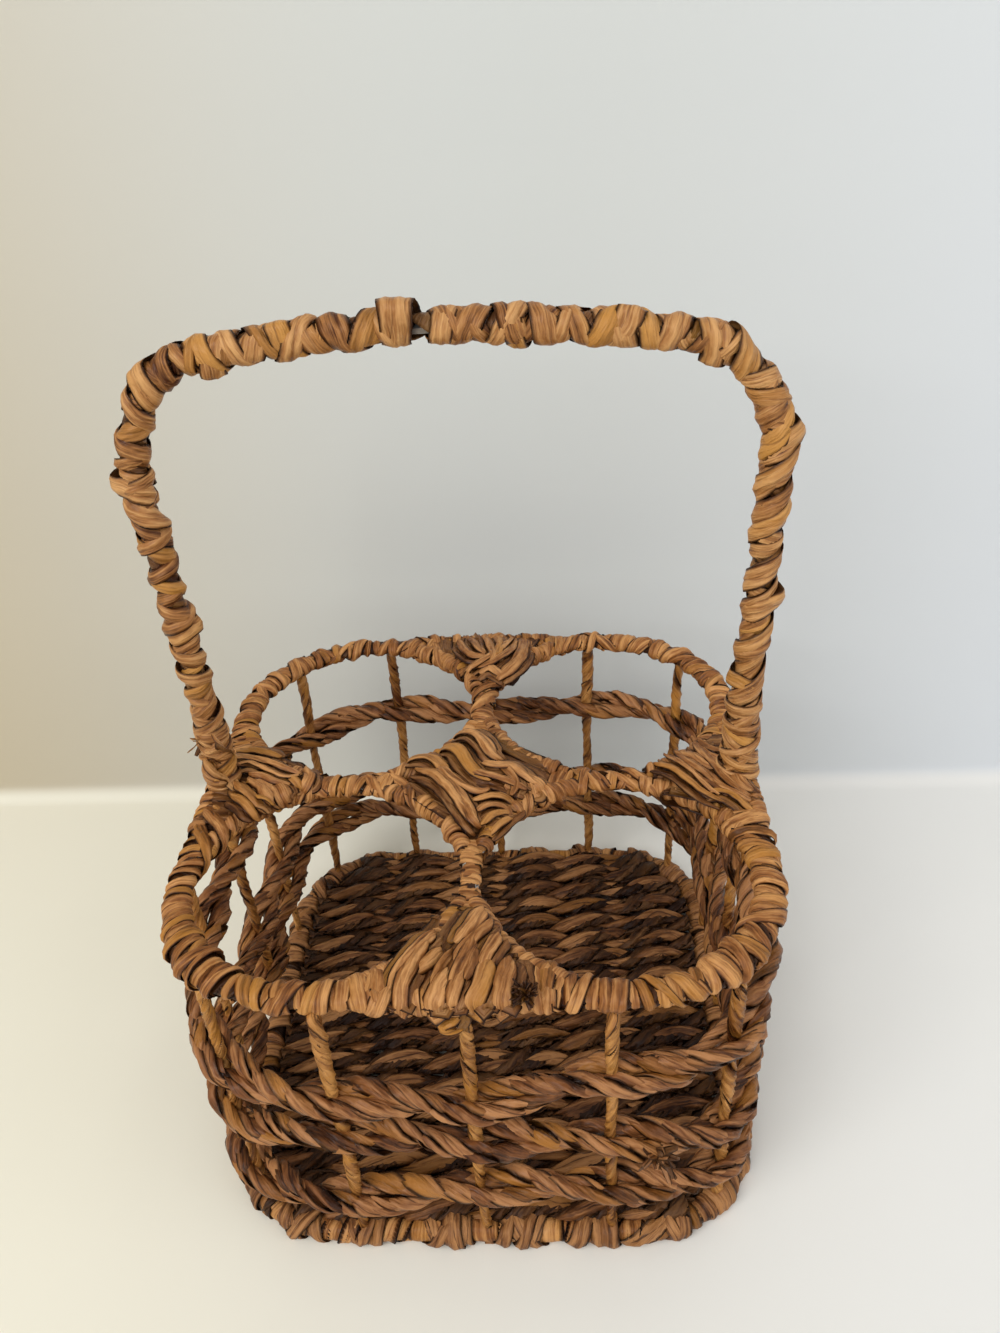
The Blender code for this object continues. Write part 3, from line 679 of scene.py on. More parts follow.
def draped(points, half_width, tone, side=0, **manner):
    """Return a strip through points in the plan of a side web.

    They are in millimetres from the basket's middle at rim height.
    """
    spots = [on_side(Vector((x * MM, y * MM, RIM_HEIGHT + z * MM)), side) for x, y, z in points]
    line = smooth_route(spots, 0.0015)
    heading = line[-1] - line[0]
    facings, half_widths = [], []
    last = len(line) - 1
    for index in range(last + 1):
        tangent = (line[min(index + 1, last)] - line[max(index - 1, 0)]).normalized()
        level = Vector((tangent.x, tangent.y, 0))
        local = (level * 1.5 + Vector((heading.x, heading.y, 0)).normalized()).normalized()
        facings.append(local.cross(UP).cross(tangent).normalized())
        share = index / last
        end = min(1.0, min(share, 1 - share) / 0.25)
        half_widths.append(half_width * MM * (0.3 + 0.7 * math.sin(end * math.pi / 2)))
    return strip_of(line, facings, half_widths, tone, **manner)


def tuft(centre, out, count, length, half_width, tone, seed, leaf, depth=0.8):
    """Lay the frayed ends of a knot: short narrow strips that curl out of one place."""
    draw = random.Random(seed)
    strips = []
    for number in range(count):
        aim = Vector([draw.uniform(-1, 1) for axis in range(3)])
        aim = (aim - out * aim.dot(out) * 0.6 + out * 0.5).normalized()
        curl = Vector([draw.uniform(-1, 1) for axis in range(3)]) * 0.5
        size = length * draw.uniform(0.5, 1.2)
        start = centre + aim.cross(out) * draw.uniform(-0.3, 0.3) * length
        bends = []
        for share in (0.0, 0.35, 0.7, 1.0):
            rise = out * (size * 0.3 * share * (1 - share))
            bends.append(start + (aim + curl * share) * (size * share) + rise)
        line = smooth_route(bends, 0.0012)
        facings = [aim.cross(curl).normalized()] * len(line)
        widths = [half_width * (1.0 - 0.7 * index / len(line)) for index in range(len(line))]
        strips.append(strip_of(line, facings, widths, tone + draw.uniform(-0.2, 0.25), crown=0.0002,
                               crease=0.0002, depth=depth))
    return lay(strips, seed, leaf, thickness=0.0004, steps=8, section_points=6)


# Routes of the basket

def on_side(vector, side):
    """Turn a vector from the front to another side, counted anticlockwise."""
    return Matrix.Rotation(side * math.pi / 2, 3, "Z") @ vector


def rounded_square_point(half, corner, side, along):
    """Return a point and its outward direction on a rounded square.

    side counts the sides anticlockwise from the front, and along is the distance
    from the middle of that side's first corner.
    """
    half_arc = corner * math.pi / 4
    straight = 2 * (half - corner)
    if along < half_arc:
        turn = along / corner - math.pi / 4
        centre = Vector((corner - half, corner - half, 0))
    elif along > half_arc + straight:
        turn = (along - half_arc - straight) / corner
        centre = Vector((half - corner, corner - half, 0))
    else:
        turn = 0.0
        centre = Vector((corner - half + along - half_arc, corner - half, 0))
    outward = Vector((math.sin(turn), -math.cos(turn), 0))
    return on_side(centre + outward * corner, side), on_side(outward, side)


def stake_distance(half, corner, station):
    """Return the distance along one side of a station, which is a whole number at a stake."""
    length = corner * math.pi / 2 + 2 * (half - corner)
    middle = STAKES_PER_SIDE / 2
    marks = [0.0]
    marks += [length / 2 + (number - middle) * STAKE_SPACING
              for number in range(1, STAKES_PER_SIDE)]
    marks.append(length)
    first = min(int(station), STAKES_PER_SIDE - 1)
    return marks[first] + (marks[first + 1] - marks[first]) * (station - first)


def wall_point(station, height):
    """Return a point of the basket's wall and its outward direction.

    station counts the stakes anticlockwise from the front left corner.
    """
    station = station % STAKE_COUNT
    rise_share = (height - BASE_HEIGHT) / (RIM_HEIGHT - BASE_HEIGHT)
    half = BASE_HALF + (RIM_HALF - BASE_HALF) * rise_share
    corner = BASE_CORNER_RADIUS + (RIM_CORNER_RADIUS - BASE_CORNER_RADIUS) * rise_share
    side = int(station // STAKES_PER_SIDE)
    along = stake_distance(half, corner, station - side * STAKES_PER_SIDE)
    point, outward = rounded_square_point(half, corner, side, along)
    return point + UP * height, outward


def row_height(row, station):
    """Return a rope row's height, smooth from stake to stake."""
    shares = ROW_LEVEL_SHARES[row]
    first = int(station) % STAKE_COUNT
    ahead = (first + 1) % STAKE_COUNT
    ease = (1 - math.cos(math.pi * (station - int(station)))) / 2
    return RIM_HEIGHT * (shares[first] + (shares[ahead] - shares[first]) * ease)


def strand_route(row, phase):
    """Return one strand of a twined row, a full loop and some steps more."""
    total = STAKE_COUNT * STEPS_PER_STAKE + STRAND_OVERRUN
    line = []
    for step in range(-1, total + 3):
        station = (step / STEPS_PER_STAKE) % STAKE_COUNT
        line.append(wall_point(station, row_height(row, station)))
    route = []
    for index in range(1, total + 2):
        point, outward = line[index]
        along = (line[index + 1][0] - line[index - 1][0]).normalized()
        lift = along.cross(-outward).normalized()
        turn = math.pi * (index - 1) / STEPS_PER_STAKE + phase
        swing = outward * (TWINE_SWING * math.cos(turn))
        route.append(point + swing - lift * (TWINE_LIFT * math.sin(turn)))
    return route


def handle_route(start_height, spacing):
    """Return the handle's centre line, from its right foot to its left foot."""
    top_half = HANDLE_SHOULDER_HALF - HANDLE_SHOULDER_WIDTH
    shoulder_top = HANDLE_HEIGHT - HANDLE_CROWN
    lashing_top = WEB_TOP + LASHING_HEIGHT
    rising = [
        (HANDLE_FOOT_HALF, start_height),
        (HANDLE_FOOT_HALF, lashing_top),
        ((HANDLE_FOOT_HALF + HANDLE_SHOULDER_HALF) / 2, (lashing_top + HANDLE_SHOULDER_HEIGHT) / 2),
    ]
    shoulder_steps = 6
    for step in range(shoulder_steps):
        angle = step / shoulder_steps * math.pi / 2
        x = top_half + HANDLE_SHOULDER_WIDTH * math.cos(angle)
        z = HANDLE_SHOULDER_HEIGHT + (shoulder_top - HANDLE_SHOULDER_HEIGHT) * math.sin(angle)
        rising.append((x, z))
    crown_steps = 8
    crown = []
    for step in range(crown_steps + 1):
        x = top_half * (1 - 2 * step / crown_steps)
        crown.append((x, HANDLE_HEIGHT - HANDLE_CROWN * (x / top_half) ** 2))
    right = [Vector((x, 0, z)) for x, z in rising]
    over = [Vector((x, 0, z)) for x, z in crown]
    left = [Vector((-x, 0, z)) for x, z in reversed(rising)]
    return smooth_route(right + over + left, spacing)


def corner_route(sign_x, sign_y, run):
    """Return the line between ring and rim round one corner, and half the gap between the wires."""
    route, gaps = [], []
    steps = 96
    for step in range(steps + 1):
        angle = -run + (math.pi / 2 + 2 * run) * step / steps
        x = CELL_CENTRE + RING_RADIUS * math.cos(angle)
        y = CELL_CENTRE + RING_RADIUS * math.sin(angle)
        near = Vector((x, y, 0))
        if angle < 0:
            far = Vector((RIM_HALF, near.y, 0))
        elif angle > math.pi / 2:
            far = Vector((near.x, RIM_HALF, 0))
        else:
            outward = Vector((math.cos(angle), math.sin(angle), 0))
            far = Vector((CELL_CENTRE, CELL_CENTRE, 0)) + outward * RIM_CORNER_RADIUS
        middle = (near + far) / 2
        route.append(Vector((sign_x * middle.x, sign_y * middle.y, RIM_HEIGHT)))
        gaps.append((far - near).length / 2)
    return route, gaps


def bar_route(side, reach):
    """Return the line between two rings along one bar, and half the gap between their wires."""
    route, gaps = [], []
    steps = 30
    for step in range(steps + 1):
        y = reach * (2 * step / steps - 1)
        route.append(on_side(Vector((0, y - CELL_CENTRE, RIM_HEIGHT)), side))
        gaps.append(CELL_CENTRE - math.sqrt(RING_RADIUS ** 2 - y ** 2))
    return route, gaps


def ring_route(sign_x, sign_y, first, last):
    """Return part of a bottle ring, between two angles in degrees about its centre."""
    first, last = math.radians(first), math.radians(last)
    steps = max(8, round(abs(last - first) * 30))
    route = []
    for step in range(steps + 1):
        angle = first + (last - first) * step / steps
        x = CELL_CENTRE + RING_RADIUS * math.cos(angle)
        y = CELL_CENTRE + RING_RADIUS * math.sin(angle)
        route.append(Vector((sign_x * x, sign_y * y, RIM_HEIGHT)))
    return route


# Materials

def new_material(name):
    """Start a material, and return it with its graph, its shader and the place on the object."""
    material = bpy.data.materials.new(name)
    material.use_nodes = True
    graph = Graph(material.node_tree)
    body = graph.direction("ShaderNodeTexCoord", None, None, "Object")
    return material, graph, material.node_tree.nodes["Principled BSDF"], body


def leaf_material(name, light, middle, dark, golden, roughness, edge_shadow, edge_highlight=0.0,
                  fold_shade=0.4):
    """Dried leaf: long fibres, folds, golden and red-brown patches, and a tone on each strip.

    The three numbers after roughness set, in order, how dark the painted shadow on strip edges is,
    how strong the painted highlight on edges and fold ridges is, and how dark the painted shade in
    folds is.
    """
    material, graph, shader, body = new_material(name)
    material.diffuse_color = (*middle, 1.0)
    leaf = graph.direction("ShaderNodeAttribute", {"attribute_name": "leaf"}, None, "Vector")
    form = graph.direction("ShaderNodeAttribute", {"attribute_name": "form"}, None, "Vector")
    along, across, tone = graph.split(leaf)
    edge, count, depth = graph.split(form)
    rim = graph.math("ABSOLUTE", edge)
    fold = zigzag(graph, count)
    waver = graph.noise(graph.combine(along * 170.0, across * 70.0, tone + 2.0), 1.0, 1.0)
    bent = across + waver * 0.0009

    fibre = graph.noise(graph.combine(along * 60.0, bent * 1400.0, tone), 1.0, 2.0)
    vein = graph.noise(graph.combine(along * 42.0, bent * 560.0, tone + 5.0), 1.0, 2.0)
    slanted = graph.combine(along * 230.0 + across * 180.0, across * 430.0 - along * 60.0, tone)
    pucker = graph.noise(slanted, 1.0, 2.0)
    patch = graph.noise(body, 60.0, 3.0)
    stain = graph.noise(graph.combine(along * 90.0, bent * 280.0, tone + 9.0), 1.0, 3.0)
    hue = graph.noise(graph.combine(along * 4.0, across * 40.0, tone * 7.0), 1.0, 1.0)

    # Vein and fibre are the leaf's own grain; pucker and fold also paint shade in the hollows and
    # light on the ridges of the crumples and folds
    grain_and_crumple_shade = vein * 0.55 + fibre * 0.50 + pucker * 0.30
    shade = 0.5 + (tone - 0.5) * 1.1 + grain_and_crumple_shade + patch * 0.26 + fold * 0.10
    stops = ((0.0, dark), (0.42, middle), (0.90, light))
    base = graph.value("ShaderNodeValToRGB", {"stops": stops}, {0: shade})
    warm = graph.colour(graph.between(hue, 0.02, 0.45, 0.0, 0.85), base, (*golden, 1.0))
    stained = graph.colour(graph.between(stain, 0.30, 0.65, 0.0, 0.6), warm, (*dark, 1.0))
    # Painted highlight: strip edges are paled towards the light colour, more on fold ridges and
    # some patches
    edge_and_ridge_highlight = graph.between(rim + fold * 0.25 + patch * 0.4, 0.80, 1.15, 0.0, edge_highlight)
    lit = graph.colour(edge_and_ridge_highlight, stained, (*light, 1.0))
    # Painted shade in the valleys of the folds, widened and narrowed by the stain noise
    crease = graph.between(fold + stain * 0.6, -0.75, -1.05, 0.0, fold_shade)
    # Painted shadow: a dark line along the edges of each strip, where the strips lap over each
    # other, wobbled by the pucker noise
    shadow = graph.between(rim + pucker * 0.12, 0.68, 0.95, 0.0, edge_shadow)
    creased = graph.colour(graph.math("MAXIMUM", crease, shadow), lit, (*dark, 1.0))
    # Painted shade: leaf with a small depth, meaning beds and strips that lie under others, is
    # darkened towards a very dark brown
    recess_shade = graph.between(depth, 0.15, 0.95, 0.85, 0.0)
    relief = fibre * 0.5 + vein * 0.8 + pucker * 0.9 + stain * 0.3 + fold * 0.5
    graph.shade(shader, {
        "Base Color": graph.colour(recess_shade, creased, (*(part * 0.30 for part in dark), 1.0)),
        "Roughness": vein * 0.15 + fibre * 0.15 + (roughness - 0.08),
        "Specular IOR Level": 0.22,
        "Normal": graph.bump(0.9, 0.0006, relief),
    })
    return material


def steel_material(name):
    """Bare wire of the frame, dulled, with fine drawing lines and a few rust spots."""
    material, graph, shader, body = new_material(name)
    cloud = graph.noise(body, 300.0, 3.0)
    spot = graph.between(graph.noise(body, 700.0, 2.0), 0.25, 0.5, 0.0, 0.8)
    plain = graph.colour(
        graph.between(cloud, -0.4, 0.4), (0.30, 0.30, 0.30, 1.0), (0.50, 0.49, 0.47, 1.0))
    graph.shade(shader, {
        "Base Color": graph.colour(spot, plain, (0.16, 0.08, 0.04, 1.0)),
        "Metallic": 1.0,
        "Roughness": graph.between(cloud, -0.5, 0.5, 0.35, 0.55),
        "Normal": graph.bump(0.3, 0.0001, cloud),
    })
    return material


RIM_LEAF = leaf_material(
    "rim_leaf_finish", (0.61, 0.300, 0.103), (0.285, 0.106, 0.027), (0.058, 0.014, 0.002),
    (0.46, 0.200, 0.031), roughness=0.52, edge_shadow=0.95)
WEB_LEAF = leaf_material(
    "web_leaf_finish", (0.59, 0.290, 0.104), (0.285, 0.109, 0.029), (0.058, 0.014, 0.002),
    (0.43, 0.185, 0.030), roughness=0.52, edge_shadow=0.95)
HANDLE_LEAF = leaf_material(
    "handle_leaf_finish", (0.62, 0.33, 0.125), (0.35, 0.148, 0.044), (0.075, 0.020, 0.004),
    (0.52, 0.24, 0.048), roughness=0.50, edge_shadow=0.78)
STAKE_LEAF = leaf_material(
    "stake_leaf_finish", (0.60, 0.29, 0.085), (0.34, 0.138, 0.032), (0.075, 0.020, 0.004),
    (0.47, 0.200, 0.034), roughness=0.46, edge_shadow=0.9, fold_shade=0.6)
ROW_LEAF = leaf_material(
    "row_leaf_finish", (0.44, 0.200, 0.076), (0.200, 0.072, 0.022), (0.038, 0.011, 0.003),
    (0.37, 0.150, 0.025), roughness=0.50, edge_shadow=0.35, edge_highlight=0.8, fold_shade=0.8)
FLOOR_LEAF = leaf_material(
    "floor_leaf_finish", (0.44, 0.205, 0.074), (0.190, 0.072, 0.022), (0.034, 0.010, 0.003),
    (0.24, 0.095, 0.016), roughness=0.58, edge_shadow=0.35, edge_highlight=0.5, fold_shade=0.8)
STEEL = steel_material("wire_finish")


# Pieces

def dress_wires():
    """Give the wires of the frame their metal."""
    for name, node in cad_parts.items():
        if "wire" in name:
            node.data.materials.clear()
            node.data.materials.append(STEEL)


def sections_round(gaps, wrap, fullness=(0.0, 0.0, 0.0)):
    """Return the sections round two wires, fuller by three amounts along them."""
    first, middle, end = fullness
    sections = []
    for index, gap in enumerate(gaps):
        share = 6 * index / (len(gaps) - 1) - 3
        other = first if share < 0 else end
        fuller = other + (middle - other) * (1 + math.cos(math.pi * min(1.0, abs(share)))) / 2
        sections.append((gap + wrap + fuller, wrap + fuller * 0.7))
    return sections


# Of each corner, anticlockwise: slant of the wraps at its ends, how full it is along it,
# and how often a wrap crosses the others
CORNER_WRAPS = {
    "front_left": ((-26, 2), (0.0004, 0.0026, 0.0000), 0.34),
    "front_right": ((-10, 24), (0.0006, 0.0024, 0.0008), 0.32),
    "back_right": ((18, 26), (0.0004, 0.0004, 0.0000), 0.20),
    "back_left": ((24, -24), (0.0000, 0.0004, 0.0004), 0.25),
}

# The front bar is bound broad and smooth, the others closer and rougher
FRONT_BAR = dict(spacing=0.0075, width=0.0100, slant=16, cross=0.05, crown=0.0002, rise=0.0002,
                 crease=0.0001, tone=0.60)
OTHER_BARS = dict(spacing=0.0048, width=0.0066, slant=24, cross=0.35, crown=0.0009, rise=0.0007,
                  crease=0.0002, tone=0.52)


def make_rim():
    """Leaf wound over rim and rings together, round the four corners."""
    past_end = 0.006
    for number, (name, sign_x, sign_y) in enumerate(CORNERS):
        slant, fullness, cross = CORNER_WRAPS[name]
        route, gaps = corner_route(sign_x, sign_y, math.radians(34))
        if sign_x != sign_y:
            route.reverse()
            gaps.reverse()
        # Painted shade: the bed's low tone and depth darken it where it shows between the wraps
        bed = wind(route, sections_round(gaps, 0.0019, fullness), thickness=0.0004, depth=0.25,
                   tone=0.25, seed=number + 1, leaf=RIM_LEAF)
        bar = Bar(route, sections_round(gaps, 0.0023, fullness))
        over = wraps(bar, -past_end, bar.length + past_end, 0.0047, 0.0064, slant, number + 201,
                     proud=-0.0001, rise=0.0009, cross=cross, tone=0.52, wobble=17.0,
                     crown=0.0010, lean=0.0004, crease=0.0002)
        cover = lay(over, number + 201, RIM_LEAF, steps=26, section_points=18)
        gather("rim_wrap_" + name, [bed, cover], ["rim_binding_" + name])


def make_bars():
    """Leaf wound over two rings where they run side by side."""
    for side, name in enumerate(SIDE_NAMES):
        route, gaps = bar_route(side, 0.0240)
        bed = wind(route, sections_round(gaps, 0.0015), thickness=0.0003, lap=0.0003, crown=0.0001,
                   crease=0.0, depth=0.2, tone=0.25, seed=side + 11, leaf=RIM_LEAF)
        bar = Bar(route, sections_round(gaps, 0.0015 if name == "front" else 0.0018))
        manner = FRONT_BAR if name == "front" else OTHER_BARS
        over = wraps(bar, 0.0, bar.length, seed=side + 211, first=0.7, proud=0.0001, **manner)
        cover = lay(over, side + 211, RIM_LEAF, steps=26, section_points=18)
        gather("bar_wrap_" + name, [bed, cover], ["bar_binding_" + name])


# Shares of the handle's length, from its right foot
RIGHT_LEG_SHARE = 0.30
LEFT_LEG_SHARE = 0.64
BARE_SHARE = 0.5114

# The bare place: half its length, and how far strips keep from it
BARE_HALF = 0.0019
BARE_SHIFT = 0.0018
BARE_CLEARANCE = 0.0060

# Loose strips on the handle: share of its length, turn round it, height, spread, half width, slant
HANDLE_LOOPS = (
    (0.524, 0.60, 0.0066, 0.10, 0.0056, 10), (0.593, 0.62, 0.0030, 0.07, 0.0040, -20),
    (0.640, 0.95, 0.0026, 0.07, 0.0046, 24), (0.682, 0.56, 0.0022, 0.08, 0.0050, 30),
    (0.752, 0.54, 0.0036, 0.07, 0.0046, 25), (0.860, 0.02, 0.0026, 0.07, 0.0046, -18),
    (0.4995, 0.80, 0.0008, 0.12, 0.0040, 14), (0.455, 0.98, 0.0018, 0.08, 0.0042, -16),
    (0.390, 0.58, 0.0028, 0.07, 0.0050, 28), (0.335, 0.96, 0.0028, 0.07, 0.0048, -30),
    (0.265, 0.55, 0.0032, 0.07, 0.0050, -35), (0.150, 0.52, 0.0036, 0.08, 0.0050, -30),
    (0.085, 0.98, 0.0026, 0.07, 0.0044, 26),
)


def make_handle():
    """Wide leaf wound both ways over the handle's wire, with loose flaps and one bare place."""
    route = handle_route(WEB_TOP, 0.003)
    length = route_length(route)
    bare = length * BARE_SHARE
    section = [(0.0036, 0.0036)] * len(route)
    parts = []
    for start, stop, seed in ((0.0, bare - BARE_HALF, 21), (bare + BARE_HALF, length, 22)):
        parts.append(wind(route, section, upright=BACK, start=start, stop=stop, pitch=0.0135,
                          strips=1, width=0.0160, depth=0.55, tone=0.35, seed=seed,
                          leaf=HANDLE_LEAF))
    bar = Bar(route, (0.0042, 0.0042), BACK)
    front = 0.75
    margin = 0.002
    span = 1.12
    draw = random.Random(23)
    strips = []
    where = margin
    number = 0
    while where < length - margin:
        left_leg = where > length * LEFT_LEG_SHARE
        slant = draw.uniform(18, 38) * (1 if number % 2 else -1)
        if where < length * RIGHT_LEG_SHARE and draw.random() < 0.5:
            slant = -draw.uniform(38, 52)
        run = bar.girth(where) * span * math.tan(math.radians(slant))
        proud = 0.0005 * (number % 3) + draw.uniform(-0.0004, 0.0008)
        if abs(where - bare - BARE_SHIFT) > BARE_CLEARANCE:
            first = front - span / 2 + draw.uniform(-0.16, 0.16)
            half_width = draw.uniform(0.0036, 0.0056) * (0.78 if left_leg else 1.0)
            tone = (0.43 if left_leg else 0.54) + draw.uniform(-0.26, 0.22)
            strips.append(leaf_on(bar, where, run, first, span, proud, half_width, tone,
                                  flat=draw.uniform(0.2, 0.7), crown=0.0014,
                                  lean=draw.uniform(-0.0010, 0.0014), crease=0.0001, dip=0.0018))
        where += draw.uniform(0.0044, 0.0068)
        number += 1
    for share, turn, height, spread, half_width, slant in HANDLE_LOOPS:
        run = bar.girth(0.1) * math.tan(math.radians(slant))
        strips.append(leaf_on(bar, length * share, run, turn - 0.5, 1.0, 0.0014, half_width, 0.62,
                              flat=0.2, crown=0.0006, crease=0.0001, bump=(turn, height, spread)))
    parts.append(lay(strips, 24, HANDLE_LEAF, thickness=0.0005, steps=26))
    gather("handle_wrap", parts, ["handle_binding"])


# Strips that run from the left foot over its side web, in the plan of that side:
# points, half width, tone
FOOT_STRIPS = {
    "left": (
        (((8.5, -110.5, 36.5), (9.5, -107, 30), (-6.5, -110.5, 12), (-8, -105, 9.5)), 3.0, 0.5),
        (((8, -116.5, 23.5), (10, -112.5, 17.5), (5, -109.5, 9), (10, -104.5, 6)), 3.8, 0.6),
    ),
    "right": (),
}

# Broad bands across the front of each foot: height on it, rise, start and reach in turns,
# height over it, half width, tone
FOOT_BANDS = {
    "left": (
        (0.030, -0.010, 0.50, 0.70, 0.0010, 0.0036, 0.62),
        (0.023, 0.012, 0.45, 0.70, 0.0016, 0.0038, 0.52),
        (0.016, -0.011, 0.48, 0.66, 0.0010, 0.0036, 0.60),
        (0.010, 0.009, 0.50, 0.66, 0.0018, 0.0036, 0.48),
        (0.004, -0.006, 0.46, 0.70, 0.0012, 0.0036, 0.56),
    ),
    "right": (
        (0.031, -0.012, 0.50, 0.66, 0.0010, 0.0036, 0.64),
        (0.024, 0.016, 0.44, 0.66, 0.0014, 0.0036, 0.62),
        (0.017, 0.022, 0.40, 0.68, 0.0018, 0.0042, 0.60),
        (0.010, 0.014, 0.38, 0.68, 0.0022, 0.0036, 0.52),
        (0.005, 0.005, 0.34, 0.78, 0.0026, 0.0038, 0.58),
        (0.019, -0.010, 0.52, 0.50, 0.0024, 0.0028, 0.50),
    ),
}


def make_lashings():
    """Leaf wound thickly round the handle's feet, with ends that run down over the rim."""
    steps = 20
    for number, (name, sign) in enumerate((("left", -1), ("right", 1))):
        route, sections = [], []
        for step in range(steps + 1):
            share = step / steps
            route.append(Vector((sign * HANDLE_FOOT_HALF, 0, WEB_TOP - 0.004 + 0.036 * share)))
            bulk = (0.0038 if sign < 0 else 0.0044) + 0.0010 * (1 - share) ** 2
            sections.append((bulk, bulk))
        bed = wind(route, sections, upright=BACK, pitch=0.0125, hand=sign, width=0.0095, depth=0.3,
                   tone=0.3, seed=number + 25, leaf=HANDLE_LEAF)
        bar = Bar(route, [(wide + 0.0006, tall + 0.0006) for wide, tall in sections], BACK)
        strips = wraps(bar, 0.002, bar.length + 0.004, 0.0052, 0.0088, sign * 24, number + 225,
                       span=1.12, first=0.2, proud=0.0002, rise=0.0010, cross=0.4, tone=0.53,
                       lean=0.0006, crown=0.0011)
        for points, half_width, tone in FOOT_STRIPS[name]:
            strips.append(draped(points, half_width, tone, SIDE_NAMES.index(name), crown=0.0007,
                                 crease=0.0004))
        for where, run, first, span, proud, half_width, tone in FOOT_BANDS[name]:
            strips.append(leaf_on(bar, where, run, first, span, proud, half_width, tone,
                                  point_share=0.3, tip=0.35, crown=0.0012, lean=0.0004,
                                  crease=0.0001, flat=0.4))
        parts = [bed, lay(strips, number + 225, HANDLE_LEAF, ruffle=0.25, steps=28,
                          section_points=20)]
        if name == "left":
            parts.append(tuft(Vector((-0.1162, -0.003, 0.190)), Vector((-1, -0.3, -0.2)), 14,
                              0.0050, 0.0018, 0.6, 5, HANDLE_LEAF))
        gather("handle_lashing_wrap_" + name, parts, ["handle_lashing_" + name])


# Beds of the webs in millimetres, the sides' one as it lies at the front: start, end, layer,
# half width, tone
SIDE_BED = (
    (-10, -84, -24, -117, 0, 4.6, 0.3), (-3, -82, -19, -117, 1, 4.4, 0.4),
    (1, -80, -13, -117, 0, 4.8, 0.35), (5, -85, -6, -117, 1, 4.6, 0.4),
    (9, -91, 1, -117, 0, 4.6, 0.3), (12, -97, 8, -117, 1, 4.5, 0.4),
    (16, -102, 15, -117, 0, 4.4, 0.35), (22, -106, 23, -117, 1, 4.2, 0.4),
)
MIDDLE_BED = (
    (-29, -6, -2, -31, 1, 4.8, 0.45), (-27, 1, 5, -26, 0, 5.0, 0.35),
    (-24, 9, 12, -20, 1, 4.8, 0.4), (-17, 14, 18, -14, 0, 4.8, 0.3),
    (-12, 19, 24, -8, 1, 4.6, 0.45), (-5, 25, 28, 0, 0, 4.6, 0.4), (-1, 31, 30, 7, 1, 4.2, 0.4),
)


def over_rim(x, y):
    """Return the points of a strip that bends down over the front rim and in under it."""
    return (x, y, 5), (x, -122.4, 2.5), (x + 0.5, -122.8, -0.5), (x + 0.5, -116.5, -3.0)


